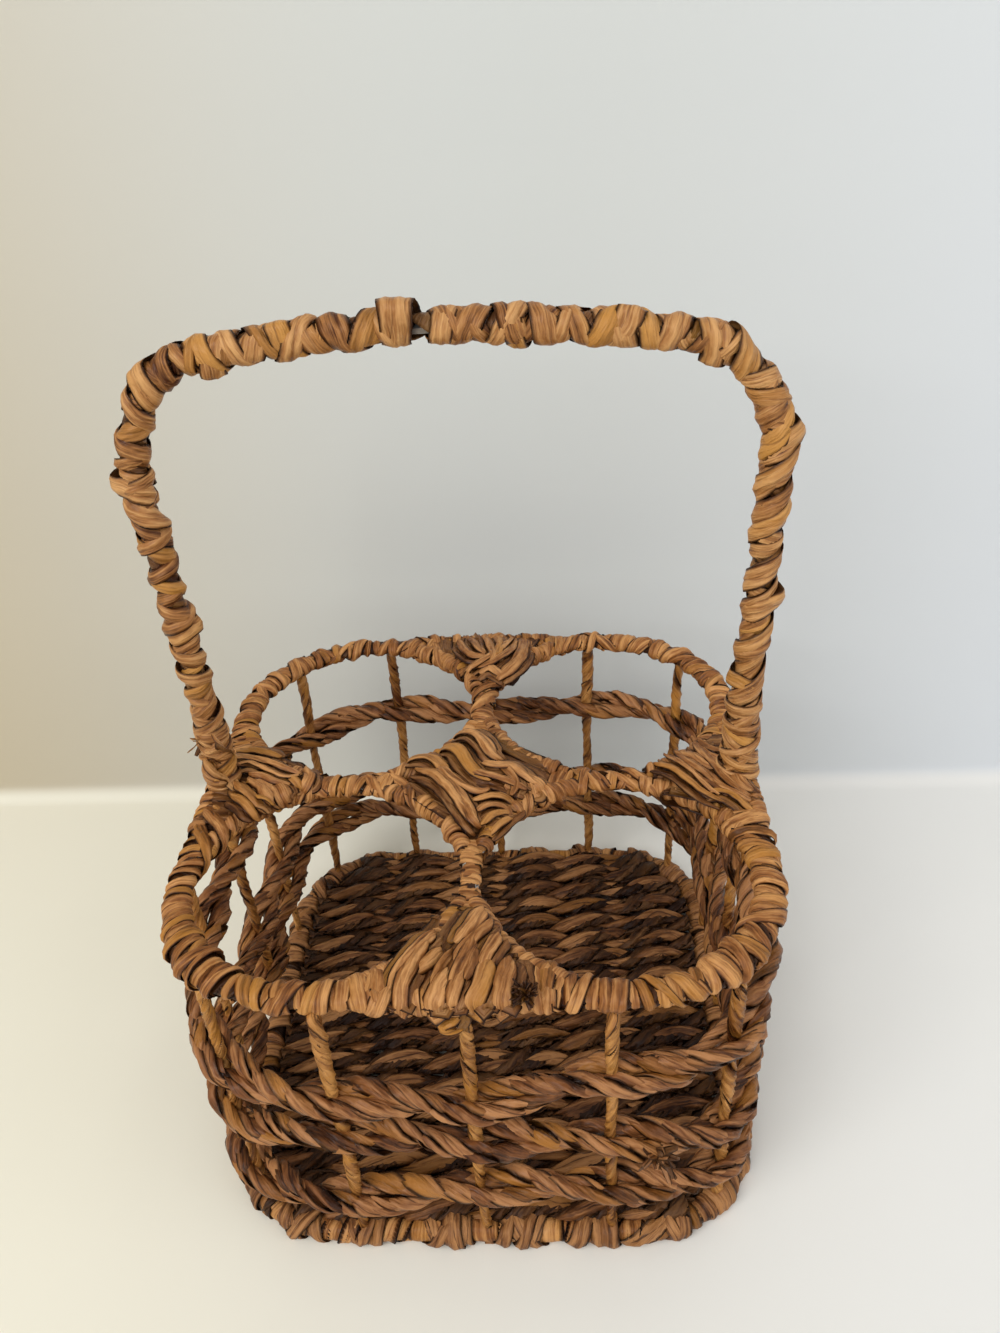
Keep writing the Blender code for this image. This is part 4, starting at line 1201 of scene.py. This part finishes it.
# Upper strips of each web, as the beds are, with the height over the rim's middle:
# points, half width, tone
UPPER_STRIPS = {
    "front": (
        (((-11, -92, 6), (-17, -101, 7), (-22, -110, 6.5), (-25, -117, 4)), 3.4, 0.6),
        (((-13, -98, 7), (-17.5, -107, 7.5), (-20, -116, 7), (-20.5, -121.5, 4),
          (-20.5, -122.8, -0.5), (-20, -117, -3.0)), 3.6, 0.5),
        (((6.5, -83, 8), (3, -90.5, 9), (-0.5, -96, 8.5), (-3, -98, 7)), 3.4, 0.64),
        (((10, -88.5, 7.5), (4.5, -96.5, 8.5), (0, -103, 8), (-2, -108, 6.5)), 2.7, 0.52),
        (((4, -96, 8), (1.5, -105, 8.5), (-1.5, -113.5, 8), (-3, -119, 6.5)), 2.7, 0.48),
        (((-3.5, -101.5, 7), (-7.5, -109.5, 7), (-10, -117, 6.5)), 1.8, 0.38),
        (((-5, -110, 6.5), (-7.5, -117.5, 7), *over_rim(-9, -121.5)), 4.2, 0.68),
        (((1.5, -107.5, 7.5), (-1.5, -117.5, 7.5), *over_rim(-3, -122)), 3.0, 0.5),
        (((9.5, -105.5, 7), (7.5, -117.5, 7.5), *over_rim(5, -122)), 4.4, 0.6),
        (((17, -105, 6.5), (15, -115.5, 7), *over_rim(14, -121.5)), 4.2, 0.56),
        (((5, -102, 7.5), (4, -108, 8), (2, -116, 8)), 2.4, 0.42),
        (((-8, -100.5, 6), (-13, -107, 6.5), (-18, -109.5, 5)), 3.2, 0.68),
        (((13, -95.5, 8), (9.5, -103, 8.5), (7, -108.5, 7)), 2.8, 0.56),
    ),
    "right": (
        (((11, -83.5, 5), (2, -89, 8), (-6.5, -94.5, 8.5), (-14, -99, 8),
          (-19.5, -103, 6.5)), 2.6, 0.62),
        (((13, -88.5, 5), (2, -93.5, 8), (-6, -99, 8.5), (-13, -103.5, 8), (-17, -108, 7.5),
          (-19.5, -114, 5), (-17, -118, 0)), 3.0, 0.58),
        (((5, -78.5, 4), (-1.5, -85.5, 7.5), (-9.5, -91, 8), (-16.5, -96, 7.5), (-20.5, -101, 6.5),
          (-22.5, -105, 5)), 2.6, 0.54),
        (((18, -97.5, 6), (7, -101, 7.5), (-0.5, -104.5, 8), (-9.5, -107.5, 8), (-15, -111.5, 7),
          (-17.5, -116.5, 4)), 3.2, 0.6),
        (((12, -90.5, 5.5), (6.5, -95.5, 7.5), (1.5, -100, 7), (-2, -104, 6.5)), 3.4, 0.64),
        (((19.5, -99.5, 6), (12, -104, 7.5), (10.5, -108.5, 7)), 2.0, 0.5),
        (((13.5, -100, 6), (6, -104, 7.5), (4.5, -108.5, 7)), 2.0, 0.56),
        (((-4, -93, 5.5), (-10.5, -98, 8), (-15.5, -102.5, 8), (-19.5, -106.5, 6)), 1.8, 0.34),
        (((-17, -97.5, 5), (-17, -102, 7.5), (-18, -107, 7.5), (-21.5, -111.5, 6),
          (-26, -116, 3)), 2.8, 0.6),
        (((5, -113, 9), (-5, -112, 8.5), (-12.5, -113.5, 7.5), (-14.5, -118, 5)), 3.2, 0.56),
    ),
    "back": (
        (((8.5, -83.5, -1), (8.5, -83.5, 5.5), (3.5, -86, 8), (-3.5, -94.5, 8), (-9.5, -105.5, 6.5),
          (-13.5, -119.5, 2)), 2.6, 0.66),
        (((4, -84.5, 6), (-1.5, -85, 8), (-7.5, -91.5, 8), (-13, -102, 6),
          (-15, -116.5, 2)), 3.2, 0.54),
        (((10, -123.2, 0), (7.5, -112.5, 5), (4, -102, 7), (0, -96, 7)), 2.8, 0.55),
        (((1.5, -122.5, 2), (-2, -105, 7), (-4.5, -93, 8.5), (-3, -87.5, 7)), 3.0, 0.6),
        (((-4.5, -122, 2), (-7, -104, 7.5), (-6, -92.5, 8)), 3.0, 0.62),
        (((16, -115.5, 4), (11, -100.5, 7), (5.5, -93, 8), (-0.5, -94, 7)), 2.8, 0.52),
        (((-20, -120, 2), (-19, -100.5, 6), (-16, -88.5, 6.5), (-11, -80, 6),
          (-6.5, -74.5, 5)), 3.8, 0.58),
        (((-10, -77, 4), (-6.5, -79.5, 6.5), (-2, -83, 7), (2.5, -80.5, 5)), 2.4, 0.6),
    ),
    "left": (
        (((7.5, -114.5, 26.5), (-2.5, -111.5, 16), (-9, -105.5, 10.5), (-8, -96, 9), (-3.5, -86, 8),
          (-1, -79, 6)), 2.6, 0.6),
        (((-3.5, -108, 10), (-6, -103.5, 10), (-4.5, -98.5, 9.5), (0, -91, 9), (2.5, -84.5, 8),
          (-2, -79, 5)), 1.8, 0.7),
        (((1.5, -101, 8.5), (3, -95, 9), (6, -88.5, 8.5), (6.5, -82.5, 6)), 2.4, 0.54),
        (((-0.5, -101.5, 6), (7, -94, 8), (14.5, -89, 7), (16, -86.5, 2)), 4.6, 0.66),
        (((3.5, -92.5, 7), (9.5, -86, 7.5), (14, -83.5, 6), (13, -83.5, 0)), 4.2, 0.54),
        (((1.5, -83, 7), (5, -79.5, 6.5), (5.5, -78.5, 2)), 2.6, 0.62),
        (((5, -106.5, 7), (12.5, -99.5, 8), (18.5, -93.5, 7), (19.5, -90.5, 2)), 3.4, 0.6),
        (((12.5, -106.5, 6.5), (18, -100, 8), (22.5, -95.5, 6.5), (22, -94, 0)), 3.0, 0.5),
        (((16.5, -94.5, 8.5), (17.5, -90, 8), (18.5, -87.5, 5)), 1.8, 0.76),
        (((-9.5, -78.5, 3), (0, -74.5, 6), (5.5, -75.5, 5), (5.5, -79, 0)), 2.8, 0.56),
        (((-19, -112, 6), (-18, -104.5, 7.5), (-16.5, -97, 7), (-15, -90.5, 5)), 3.0, 0.52),
    ),
    "middle": (
        (((-31.5, 12, 1), (-29, 11, 6), (-22, 8, 9), (-16, 3, 8.5), (-13, -4, 7)), 3.6, 0.58),
        (((-27, 2.5, 6), (-18.5, -3, 9), (-11.5, -11.5, 9.5), (-4.5, -24, 9.5), (0.5, -33.5, 8),
          (2.5, -34.5, 5)), 4.0, 0.56),
        (((-17, 3.5, 8), (-11.5, -5, 9), (-4.5, -12, 8.5), (1, -15, 8), (6, -13, 7)), 3.2, 0.48),
        (((-17.5, 18, 1), (-15, 16.5, 7), (-9, 11.5, 11), (-4, 2.5, 10), (0.5, -3.5, 9),
          (6.5, -8.5, 7.5)), 3.8, 0.6),
        (((-12.5, 28, 0), (-9.5, 28, 6), (-3, 23.5, 11), (3, 15, 12), (7, 8, 10),
          (10.5, 8.5, 6)), 3.6, 0.62),
        (((-5.5, 3, 8), (1.5, -3.5, 9), (9.5, -6.5, 9), (17, -10.5, 8.5),
          (22.5, -14, 7)), 3.2, 0.46),
        (((1, 7.5, 7), (8, 1.5, 9), (15, 1, 9), (20.5, -4, 8), (26.5, -8, 5)), 3.6, 0.56),
        (((-1.5, -20.5, 7), (6, -18, 8), (12.3, -17.2, 6.5), (17.7, -18.6, 2.5)), 3.0, 0.6),
        (((1, -27, 7), (5.5, -24, 8), (10.8, -22.1, 6), (15.6, -22.4, 1.5)), 3.0, 0.48),
        (((3, -34, 5), (6.8, -28.5, 6), (12.2, -24.8, 4.5), (17.2, -22, -0.5)), 3.0, 0.58),
        (((5.5, -38, 2), (9.5, -32, 3.5), (14.5, -25.6, 2), (18.6, -20.5, -1)), 2.8, 0.52),
        (((9, 5.5, 7), (15, -4, 9), (17.5, -12, 8.5), (15.5, -17.5, 7)), 2.6, 0.5),
        (((19, -3.5, 7), (23.3, -8.1, 5.5), (24.8, -13.1, 2.5), (21.5, -15.5, -1)), 3.0, 0.56),
        (((23.5, -4, 6), (28, -8.5, 5), (28, -9.5, 0)), 3.0, 0.62),
        (((12.5, -11.5, 8), (17.2, -13, 5.5), (20.2, -15.5, 3.5), (18.9, -18.2, -1)), 3.0, 0.44),
    ),
}


def over_wire(centre, heading, radius, first, last, steps=7):
    """Return points of a strip that bends over a wire, angles in degrees above its heading."""
    points = []
    for step in range(steps + 1):
        angle = math.radians(first + (last - first) * step / steps)
        points.append(centre + (heading * math.cos(angle) + UP * math.sin(angle)) * radius)
    return points


def bed_strips(table, side):
    """Return a web's bed, strips that bend over the wires at both ends, above and then below."""
    strips = []
    for below in (False, True):
        for x0, y0, x1, y1, layer, half_width, tone in table:
            radius = (3.5 + 0.4 * layer) * MM
            first = on_side(Vector((x0 * MM, y0 * MM, RIM_HEIGHT)), side)
            last = on_side(Vector((x1 * MM, y1 * MM, RIM_HEIGHT)), side)
            heading = (last - first).normalized()
            near = over_wire(first, -heading, radius, -95, 80)
            far = over_wire(last, heading, radius, 80, -95)
            points = near + far
            facings = [(point - first).normalized() for point in near]
            facings += [(point - last).normalized() for point in far]
            if below:
                points = [Vector((p.x, p.y, 2 * RIM_HEIGHT - p.z)) for p in points]
                facings = [Vector((f.x, f.y, -f.z)) for f in facings]
            widths = [half_width * MM] * len(points)
            # Painted shade: a depth of a half darkens the bed as lying under the upper strips
            strips.append(strip_of(points, facings, widths, tone, depth=0.5))
    return strips


def draped_layers(table, side, paler=0.0):
    """Return the upper strips of a web, with ones beneath them that show in the gaps, darkened as
    painted shade.
    """
    apart, below, layer_step, lowest = 3.2, 1.9, 0.4, 2.0
    strips = []
    for number, (points, half_width, tone) in enumerate(table):
        tone += paler
        strips.append(draped(points, half_width, tone, side, crown=0.0013, lean=0.0004))
        x0, y0, x1, y1 = *points[0][:2], *points[-1][:2]
        reach = math.hypot(x1 - x0, y1 - y0)
        drop = below + layer_step * (number % 2)
        for shift in (-1, 1):
            across_x = (y0 - y1) / reach * apart * shift
            across_y = (x1 - x0) / reach * apart * shift
            under = [(x + across_x, y + across_y, max(z - drop, lowest)) for x, y, z in points]
            # Painted shade: the strips beneath get a darker tone and a depth of 0.58, which darkens
            # them more
            strips.append(draped(under, half_width, tone - 0.10 + 0.07 * shift, side,
                                 crown=0.0010, lean=0.0004, depth=0.58))
    return strips


# Edges of the webs along the rings: the front web's left one is bound broad and smooth
SMOOTH_EDGE = dict(spacing=0.0070, width=0.0100, crown=0.0005, crease=0.0002, cross=0.0)
ROUGH_EDGE = dict(spacing=0.0048, width=0.0068, crown=0.0009, crease=0.0004, cross=0.25)
RIM_EDGE = dict(spacing=0.0047, width=0.0066, crown=0.0010, crease=0.0004, lean=0.0005)
RING_WIRES = (0.0019, 0.0021), (0.0022, 0.0026)
RIM_WIRES = (0.0021, 0.0021), (0.0026, 0.0026)


def web_edge(route, wires, hand, slant, seed, **manner):
    """Return the winding of one edge of a web, and the turns that go over it."""
    inner, outer = wires
    bed = wind(route, [inner] * len(route), hand=hand, depth=0.4, tone=0.3, seed=seed,
               leaf=WEB_LEAF)
    turns = wraps(Bar(route, outer), 0.0, route_length(route), slant=slant, seed=seed + 200,
                  **manner)
    return bed, turns


def make_webs():
    """Webs between the rings: wound edges, a bed of strips across, and looser strips over it."""
    edge_steps = 20
    for side, name in enumerate(SIDE_NAMES):
        rim = []
        for step in range(edge_steps + 1):
            x = -WEB_EDGE_HALF + 2 * WEB_EDGE_HALF * step / edge_steps
            rim.append(on_side(Vector((x, -RIM_HALF, RIM_HEIGHT)), side))
        bed, strips = web_edge(rim, RIM_WIRES, 1, -14, side + 71, tone=0.54, **RIM_EDGE)
        parts = [bed]
        for sign in (-1, 1):
            arc = [on_side(point, side) for point in ring_route(sign, -1, 116, 164)]
            manner = SMOOTH_EDGE if name == "front" and sign < 0 else ROUGH_EDGE
            bed, turns = web_edge(arc, RING_WIRES, sign, sign * 24, side * 2 + sign + 81,
                                  tone=0.54, **manner)
            parts.append(bed)
            strips += turns
        strips += bed_strips(SIDE_BED, side)
        strips += draped_layers(UPPER_STRIPS[name], side)
        parts.append(lay(strips, side + 91, WEB_LEAF))
        if name == "front":
            parts.append(tuft(Vector((0.0225, -0.1195, 0.1650)), Vector((0, -0.5, 0.8)), 90,
                              0.0045, 0.0011, 0.1, 3, WEB_LEAF, depth=0.45))
        gather("web_weave_" + name, parts, ["web_" + name])

    parts, strips = [], []
    for number, (name, sign_x, sign_y) in enumerate(CORNERS):
        hand = sign_x * sign_y
        arc = ring_route(sign_x, sign_y, 198, 252)
        bed, turns = web_edge(arc, RING_WIRES, hand, hand * 20, number + 101, tone=0.52,
                              **{**ROUGH_EDGE, "cross": 0.3})
        parts.append(bed)
        strips += turns
    strips += bed_strips(MIDDLE_BED, 0) + draped_layers(UPPER_STRIPS["middle"], 0, 0.09)
    parts.append(lay(strips, 111, WEB_LEAF, ruffle=0.25))
    gather("web_weave_middle", parts, ["web_middle"])


# Looped ends at the tops of front stakes, as the webs' upper strips are: points, half width
STAKE_BOWS = {
    1: (
        (((-53, -119, -3), (-52.5, -122.5, -5), (-50, -122.5, -11), (-50, -119.5, -18)), 2.4),
    ),
    2: (
        (((0, -119.5, -4), (-3, -122.5, -5), (-7, -123.5, -6.5), (-5, -123, -10),
          (0, -121.5, -11)), 2.2),
        (((1, -119.5, -15), (-0.5, -122, -11), (1, -123, -6), (1, -121, -1)), 2.6),
    ),
    3: (
        (((53, -119, -5), (52, -122, -8), (50.5, -122, -13), (52, -119.5, -17)), 2.2),
    ),
}


def make_stakes():
    """Stakes bound with a narrow strip, some with a looped end at the top."""
    low = BASE_HEIGHT + 0.005
    high = WEB_BOTTOM + 0.001
    steps = 8
    for number in range(STAKE_COUNT):
        route = []
        for step in range(steps + 1):
            centre, outward = wall_point(number, low + (high - low) * step / steps)
            sway = noise.noise(Vector((number * 3.1, step * 0.45, 2.0))) * 0.0016
            route.append(centre + outward.cross(UP) * sway)
        route = smooth_route(route, 0.004)
        bulk = 0.0016 + 0.0004 * (number * 7 % 5) / 4
        sections = []
        for index in range(len(route)):
            fuller = bulk + 0.0004 * index / len(route)
            uneven = 0.0008 * noise.noise(Vector((number * 5.3, index * 0.16, 7.0)))
            sections.append((fuller + uneven, fuller))
        parts = [wind(route, sections, upright=BACK, pitch=0.0230, hand=1 if number % 3 else -1,
                      strips=1, width=0.0255, thickness=0.0004, lap=0.0004, crown=0.0,
                      crease=0.0002, wander=0.45, tone=0.52, steps=30, section_points=20,
                      seed=number + 31, leaf=STAKE_LEAF)]
        if number in STAKE_BOWS:
            knot = [draped(points, half_width, 0.62, crown=0.0008, crease=0.0001)
                    for points, half_width in STAKE_BOWS[number]]
            parts.append(lay(knot, number + 61, STAKE_LEAF, steps=16, section_points=14))
        label = "%02d" % (number + 1)
        gather("stake_wrap_" + label, parts, ["stake_" + label])


# The knot with frayed ends, on one strand: row, strand, step along it and the way it points
FRAYED_STRAND = (1, "b")
FRAYED_STEP = 40
FRAYED_OUTWARD = Vector((0.24, -0.92, 0.30))


def make_rows():
    """Rope rows: two strands each, every strand a bundle of long folded leaves."""
    for row in range(len(ROW_LEVEL_SHARES)):
        for strand, (name, phase) in enumerate((("a", 0.0), ("b", math.pi))):
            route = strand_route(row, phase)
            bar = Bar(route, (0.0021, 0.0023))
            loop = bar.marks[STAKE_COUNT * STEPS_PER_STAKE]
            seed = row * 2 + strand + 51
            core = wind(route, [(0.0015, 0.0017)] * len(route), stop=loop, pitch=0.040, hand=-1,
                        strips=3, width=0.0070, lap=0.0006, crown=0.0002, wander=0.2, depth=0.25,
                        tone=0.3, steps=12, section_points=6, seed=seed, leaf=ROW_LEAF)
            leaves = strand_leaves(bar, loop, 0.026, 0.0072, 3, -0.046, seed, proud=0.0001,
                                   tone=0.52, spread=0.32, crown=0.0011, crease=0.0004, flat=0.6)
            parts = [core, lay(leaves, seed, ROW_LEAF, steps=18, section_points=14)]
            if (row, name) == FRAYED_STRAND:
                centre = route[FRAYED_STEP] + FRAYED_OUTWARD * 0.0030
                parts.append(tuft(centre, FRAYED_OUTWARD, 26, 0.0068, 0.0021, 0.75, 9, ROW_LEAF))
            label = "row_%d_" % (row + 1)
            gather(label + "rope_" + name, parts, [label + "strand_" + name])


def base_route(first, last, spacing=0.002):
    """Return part of the base rim, by distance anticlockwise from the front left corner."""
    steps = max(2, round((last - first) / spacing))
    route = []
    for step in range(steps + 1):
        distance = (first + (last - first) * step / steps) % (4 * BASE_SIDE)
        side = int(distance // BASE_SIDE)
        along = distance - side * BASE_SIDE
        point = rounded_square_point(BASE_HALF, BASE_CORNER_RADIUS, side, along)[0]
        route.append(point + UP * BASE_HEIGHT)
    return route


def base_loops(first, last, spacing, seed, **manner):
    """Return leaves looped over the base rim, close together, between two distances along it."""
    margin = 0.02
    bar = Bar(base_route(first - margin, last + margin), (0.0042, 0.0040))
    return wraps(bar, margin, margin + last - first, spacing, 0.0082, -10, seed, span=1.15,
                 first=0.6, proud=0.0003, rise=0.0012, wobble=16.0, crown=0.0010, lean=0.0006,
                 **manner)


# How leaf is laid that may touch what the basket stands on
LOW_LEAF = dict(lowest=LOWEST_LEAF, steps=20, section_points=12)


def make_base():
    """The base rim in wide pale leaf, and the floor's loops that close over it at both sides."""
    margin = 0.03
    around = margin + 4 * BASE_SIDE
    loop = base_route(-margin, around)
    bed = wind(loop, [(0.0028, 0.0028)] * len(loop), start=margin, stop=around, pitch=0.015,
               width=0.0120, lowest=LOWEST_LEAF, depth=0.35, tone=0.35, steps=18,
               section_points=10, seed=121, leaf=RIM_LEAF)
    over = wraps(Bar(loop, (0.0032, 0.0032)), margin, around, 0.0092, 0.0135, 12, 321, span=1.15,
                 proud=0.0004, cross=0.15, tone=0.58, crease=0.0002)
    gather("base_wrap", [bed, lay(over, 321, RIM_LEAF, ruffle=0.15, **LOW_LEAF)],
           ["base_binding"])
    reach = 0.008
    for name, side in (("right", 1), ("left", 3)):
        first, last = side * BASE_SIDE - reach, (side + 1) * BASE_SIDE + reach
        edge = base_route(first, last)
        bed = wind(edge, [(0.0046, 0.0042)] * len(edge), lowest=LOWEST_LEAF, depth=0.3, tone=0.3,
                   seed=side + 125, leaf=FLOOR_LEAF)
        loops = base_loops(first, last, 0.0058, side + 325, cross=0.3, tone=0.6)
        over = lay(loops, side + 325, FLOOR_LEAF, **LOW_LEAF)
        gather("floor_edge_" + name, [bed, over])


def floor_reach(offset):
    """Return how far the floor reaches at a distance from its middle line."""
    straight = FLOOR_HALF - FLOOR_CORNER_RADIUS
    past = abs(offset) - straight
    if past <= 0:
        return FLOOR_HALF
    return straight + math.sqrt(max(FLOOR_CORNER_RADIUS ** 2 - past ** 2, 0))


def make_floor_rods():
    """Rods of the floor from front to back, with leaves looped over the base rim at both ends."""
    steps = 40
    for number in range(ROD_COUNT):
        x = (number - (ROD_COUNT - 1) / 2) * ROD_SPACING
        reach = floor_reach(x) + 0.002
        route = [Vector((x, reach * (2 * step / steps - 1), ROD_HEIGHT))
                 for step in range(steps + 1)]
        bed = wind(route, [(0.0013, 0.0013)] * len(route), pitch=0.016, width=0.0060,
                   thickness=0.0005, lap=0.0003, crown=0.0001, crease=0.0002, steps=12,
                   section_points=10, seed=number + 131, leaf=FLOOR_LEAF)
        loops = []
        for side, sign in ((0, 1), (2, -1)):
            place = BASE_SIDE / 2 + sign * x + side * BASE_SIDE
            loops += base_loops(place - 0.0075, place + 0.0060, 0.0052, number * 3 + side + 141,
                                cross=0.35, tone=0.66, spread=0.2)
        label = str(number + 1)
        gather("floor_rod_wrap_" + label, [bed, lay(loops, number + 141, FLOOR_LEAF, **LOW_LEAF)],
               ["floor_rod_" + label])


def floor_strand(row, phase, y, reach):
    """Return a strand of one floor row, over and under the rods, and its sections."""
    swing, lift = 0.0030, 0.0038
    steps = 72
    route, sections = [], []
    for step in range(steps + 1):
        x = reach * (2 * step / steps - 1)
        turn = math.pi * ((x - ROD_SPACING / 2) / ROD_SPACING + row) + phase
        drift = noise.noise(Vector((x * 30, row * 2.7, phase))) * 0.0012
        height = ROD_HEIGHT + lift * math.cos(turn)
        route.append(Vector((x, y + swing * math.sin(turn) + drift, height)))
        sections.append((0.0034 + 0.0028 * math.cos(turn) ** 2, 0.0015))
    return route, sections


def make_floor():
    """The floor: rods, and rows of two strands twined round them."""
    make_floor_rods()
    parts, leaves = [], []
    draw = random.Random(150)
    for row in range(-1, FLOOR_ROWS + 1):
        y = (row - (FLOOR_ROWS - 1) / 2) * FLOOR_ROW_PITCH
        y = max(-FLOOR_EDGE, min(FLOOR_EDGE, y))
        reach = floor_reach(abs(y) - 0.004) - 0.001
        for strand, phase in enumerate((0.0, math.pi)):
            route, sections = floor_strand(row, phase, y, reach)
            parts.append(wind(route, sections, pitch=0.042, strips=3, width=0.0080,
                              thickness=0.0007, lap=0.0006, crown=0.0002, wander=0.3,
                              lowest=LOWEST_LEAF, depth=0.5, tone=0.35, steps=8,
                              section_points=6, seed=row * 2 + strand + 153, leaf=FLOOR_LEAF))
            bar = Bar(route, (0.0034, 0.0019))
            for number in range(2 * ROD_COUNT + 2):
                x = (number - ROD_COUNT - 0.5) * ROD_SPACING / 2 + draw.uniform(-0.004, 0.004)
                if abs(x) > reach - 0.010:
                    continue
                upper = number % 2 == (row + strand) % 2
                where = (x + reach) / (2 * reach) * bar.length
                run = draw.uniform(0.024, 0.038)
                first = (0.22 if upper else 0.72) + draw.uniform(-0.1, 0.04)
                leaves.append(leaf_on(
                    bar, where, run, first, draw.uniform(0.02, 0.12), 0.0006,
                    draw.uniform(0.0040, 0.0052), 0.55 + draw.uniform(-0.25, 0.3),
                    point_share=0.4, tip=0.15, dip=0.0016, crown=0.0008, crease=0.0004,
                    lean=draw.uniform(-0.0006, 0.0006)))
    parts.append(lay(leaves, 152, FLOOR_LEAF, ruffle=0.2, lowest=LOWEST_LEAF, steps=11,
                     section_points=10))
    gather("floor_weave", parts, ["floor_weft"])


# Stage

def make_stage():
    """A pale floor and backdrop with painted warm light and shade towards the left, soft lamps, and
    the camera.
    """
    reach, wall, height = 3.0, 0.190, 2.4
    bend = 0.012
    profile = [(-reach, 0.0), (wall - bend, 0.0)]
    profile += [(wall - bend + bend * math.sin(turn), bend - bend * math.cos(turn))
                for turn in (math.pi / 2 * step / 8 for step in range(1, 9))]
    profile.append((wall, height))
    points = [(x, y, z) for y, z in profile for x in (-reach, reach)]
    starts = range(0, 2 * len(profile) - 2, 2)
    faces = [(start, start + 1, start + 3, start + 2) for start in starts]
    mesh = bpy.data.meshes.new("floor")
    mesh.from_pydata(points, [], faces)
    mesh.shade_smooth()
    floor = bpy.data.objects.new("floor", mesh)
    bpy.context.scene.collection.objects.link(floor)
    material, graph, shader, body = new_material("floor_finish")
    x, y, z = graph.split(body)
    # Painted light: the floor is warmer towards the left, and the backdrop darker and warmer
    # towards the left and paler and cooler towards the right, as the light falls
    floor_tint = graph.colour(
        graph.between(x, -0.25, 0.25), (0.86, 0.83, 0.70, 1.0), (0.83, 0.82, 0.78, 1.0))
    left_tint = graph.colour(
        graph.between(x, -0.42, 0.02), (0.54, 0.47, 0.34, 1.0), (0.62, 0.64, 0.62, 1.0))
    wall_tint = graph.colour(graph.between(x, 0.0, 0.40), left_tint, (0.71, 0.74, 0.77, 1.0))
    graph.shade(shader, {
        "Base Color": graph.colour(graph.between(z, 0.001, 0.010), floor_tint, wall_tint),
        "Roughness": 0.75,
        "Specular IOR Level": 0.2,
    })
    clear = graph.node("ShaderNodeBsdfTransparent")
    behind = graph.value("ShaderNodeNewGeometry", None, None, "Backfacing")
    shown = graph.node("ShaderNodeMixShader", None, {0: behind})
    material.node_tree.links.new(shader.outputs[0], shown.inputs[1])
    material.node_tree.links.new(clear.outputs[0], shown.inputs[2])
    output = material.node_tree.nodes["Material Output"]
    material.node_tree.links.new(shown.outputs[0], output.inputs["Surface"])
    mesh.materials.append(material)

    scene = bpy.context.scene
    world = bpy.data.worlds.new("studio")
    world.use_nodes = True
    world.node_tree.nodes["Background"].inputs[0].default_value = (0.98, 0.98, 1.0, 1.0)
    world.node_tree.nodes["Background"].inputs[1].default_value = 0.43
    scene.world = world
    add_lamp("window", (-0.9, -1.3, 1.5), 1.3, 26.5)
    add_lamp("fill", (1.3, -0.9, 1.2), 1.6, 10.0)
    scene.view_settings.view_transform = "Standard"

    right = Vector((0.99822804, 0.0301577, -0.05129605))
    up = Vector((0.02651641, 0.54628311, 0.83718077))
    forward = Vector((-0.05326961, 0.83705751, -0.54451545))
    camera = bpy.data.objects.new("camera", bpy.data.cameras.new("camera"))
    scene.collection.objects.link(camera)
    turn = Matrix((right, up, -forward)).transposed().to_4x4()
    camera.matrix_world = Matrix.Translation((0.03555, -0.35309, 0.45126)) @ turn
    camera.data.sensor_width = 36.0
    camera.data.lens = 27.70
    camera.data.clip_start = 0.01
    scene.camera = camera


def add_lamp(name, place, size, power):
    """A soft square lamp that looks at the basket."""
    data = bpy.data.lights.new(name, "AREA")
    data.shape = "SQUARE"
    data.size = size
    data.energy = power
    lamp = bpy.data.objects.new(name, data)
    lamp.location = place
    lamp.rotation_euler = (Vector((0, 0, 0.12)) - Vector(place)).to_track_quat("-Z", "Y").to_euler()
    bpy.context.scene.collection.objects.link(lamp)


make_stage()
dress_wires()
make_rim()
make_bars()
make_webs()
make_handle()
make_lashings()
make_stakes()
make_rows()
make_base()
make_floor()
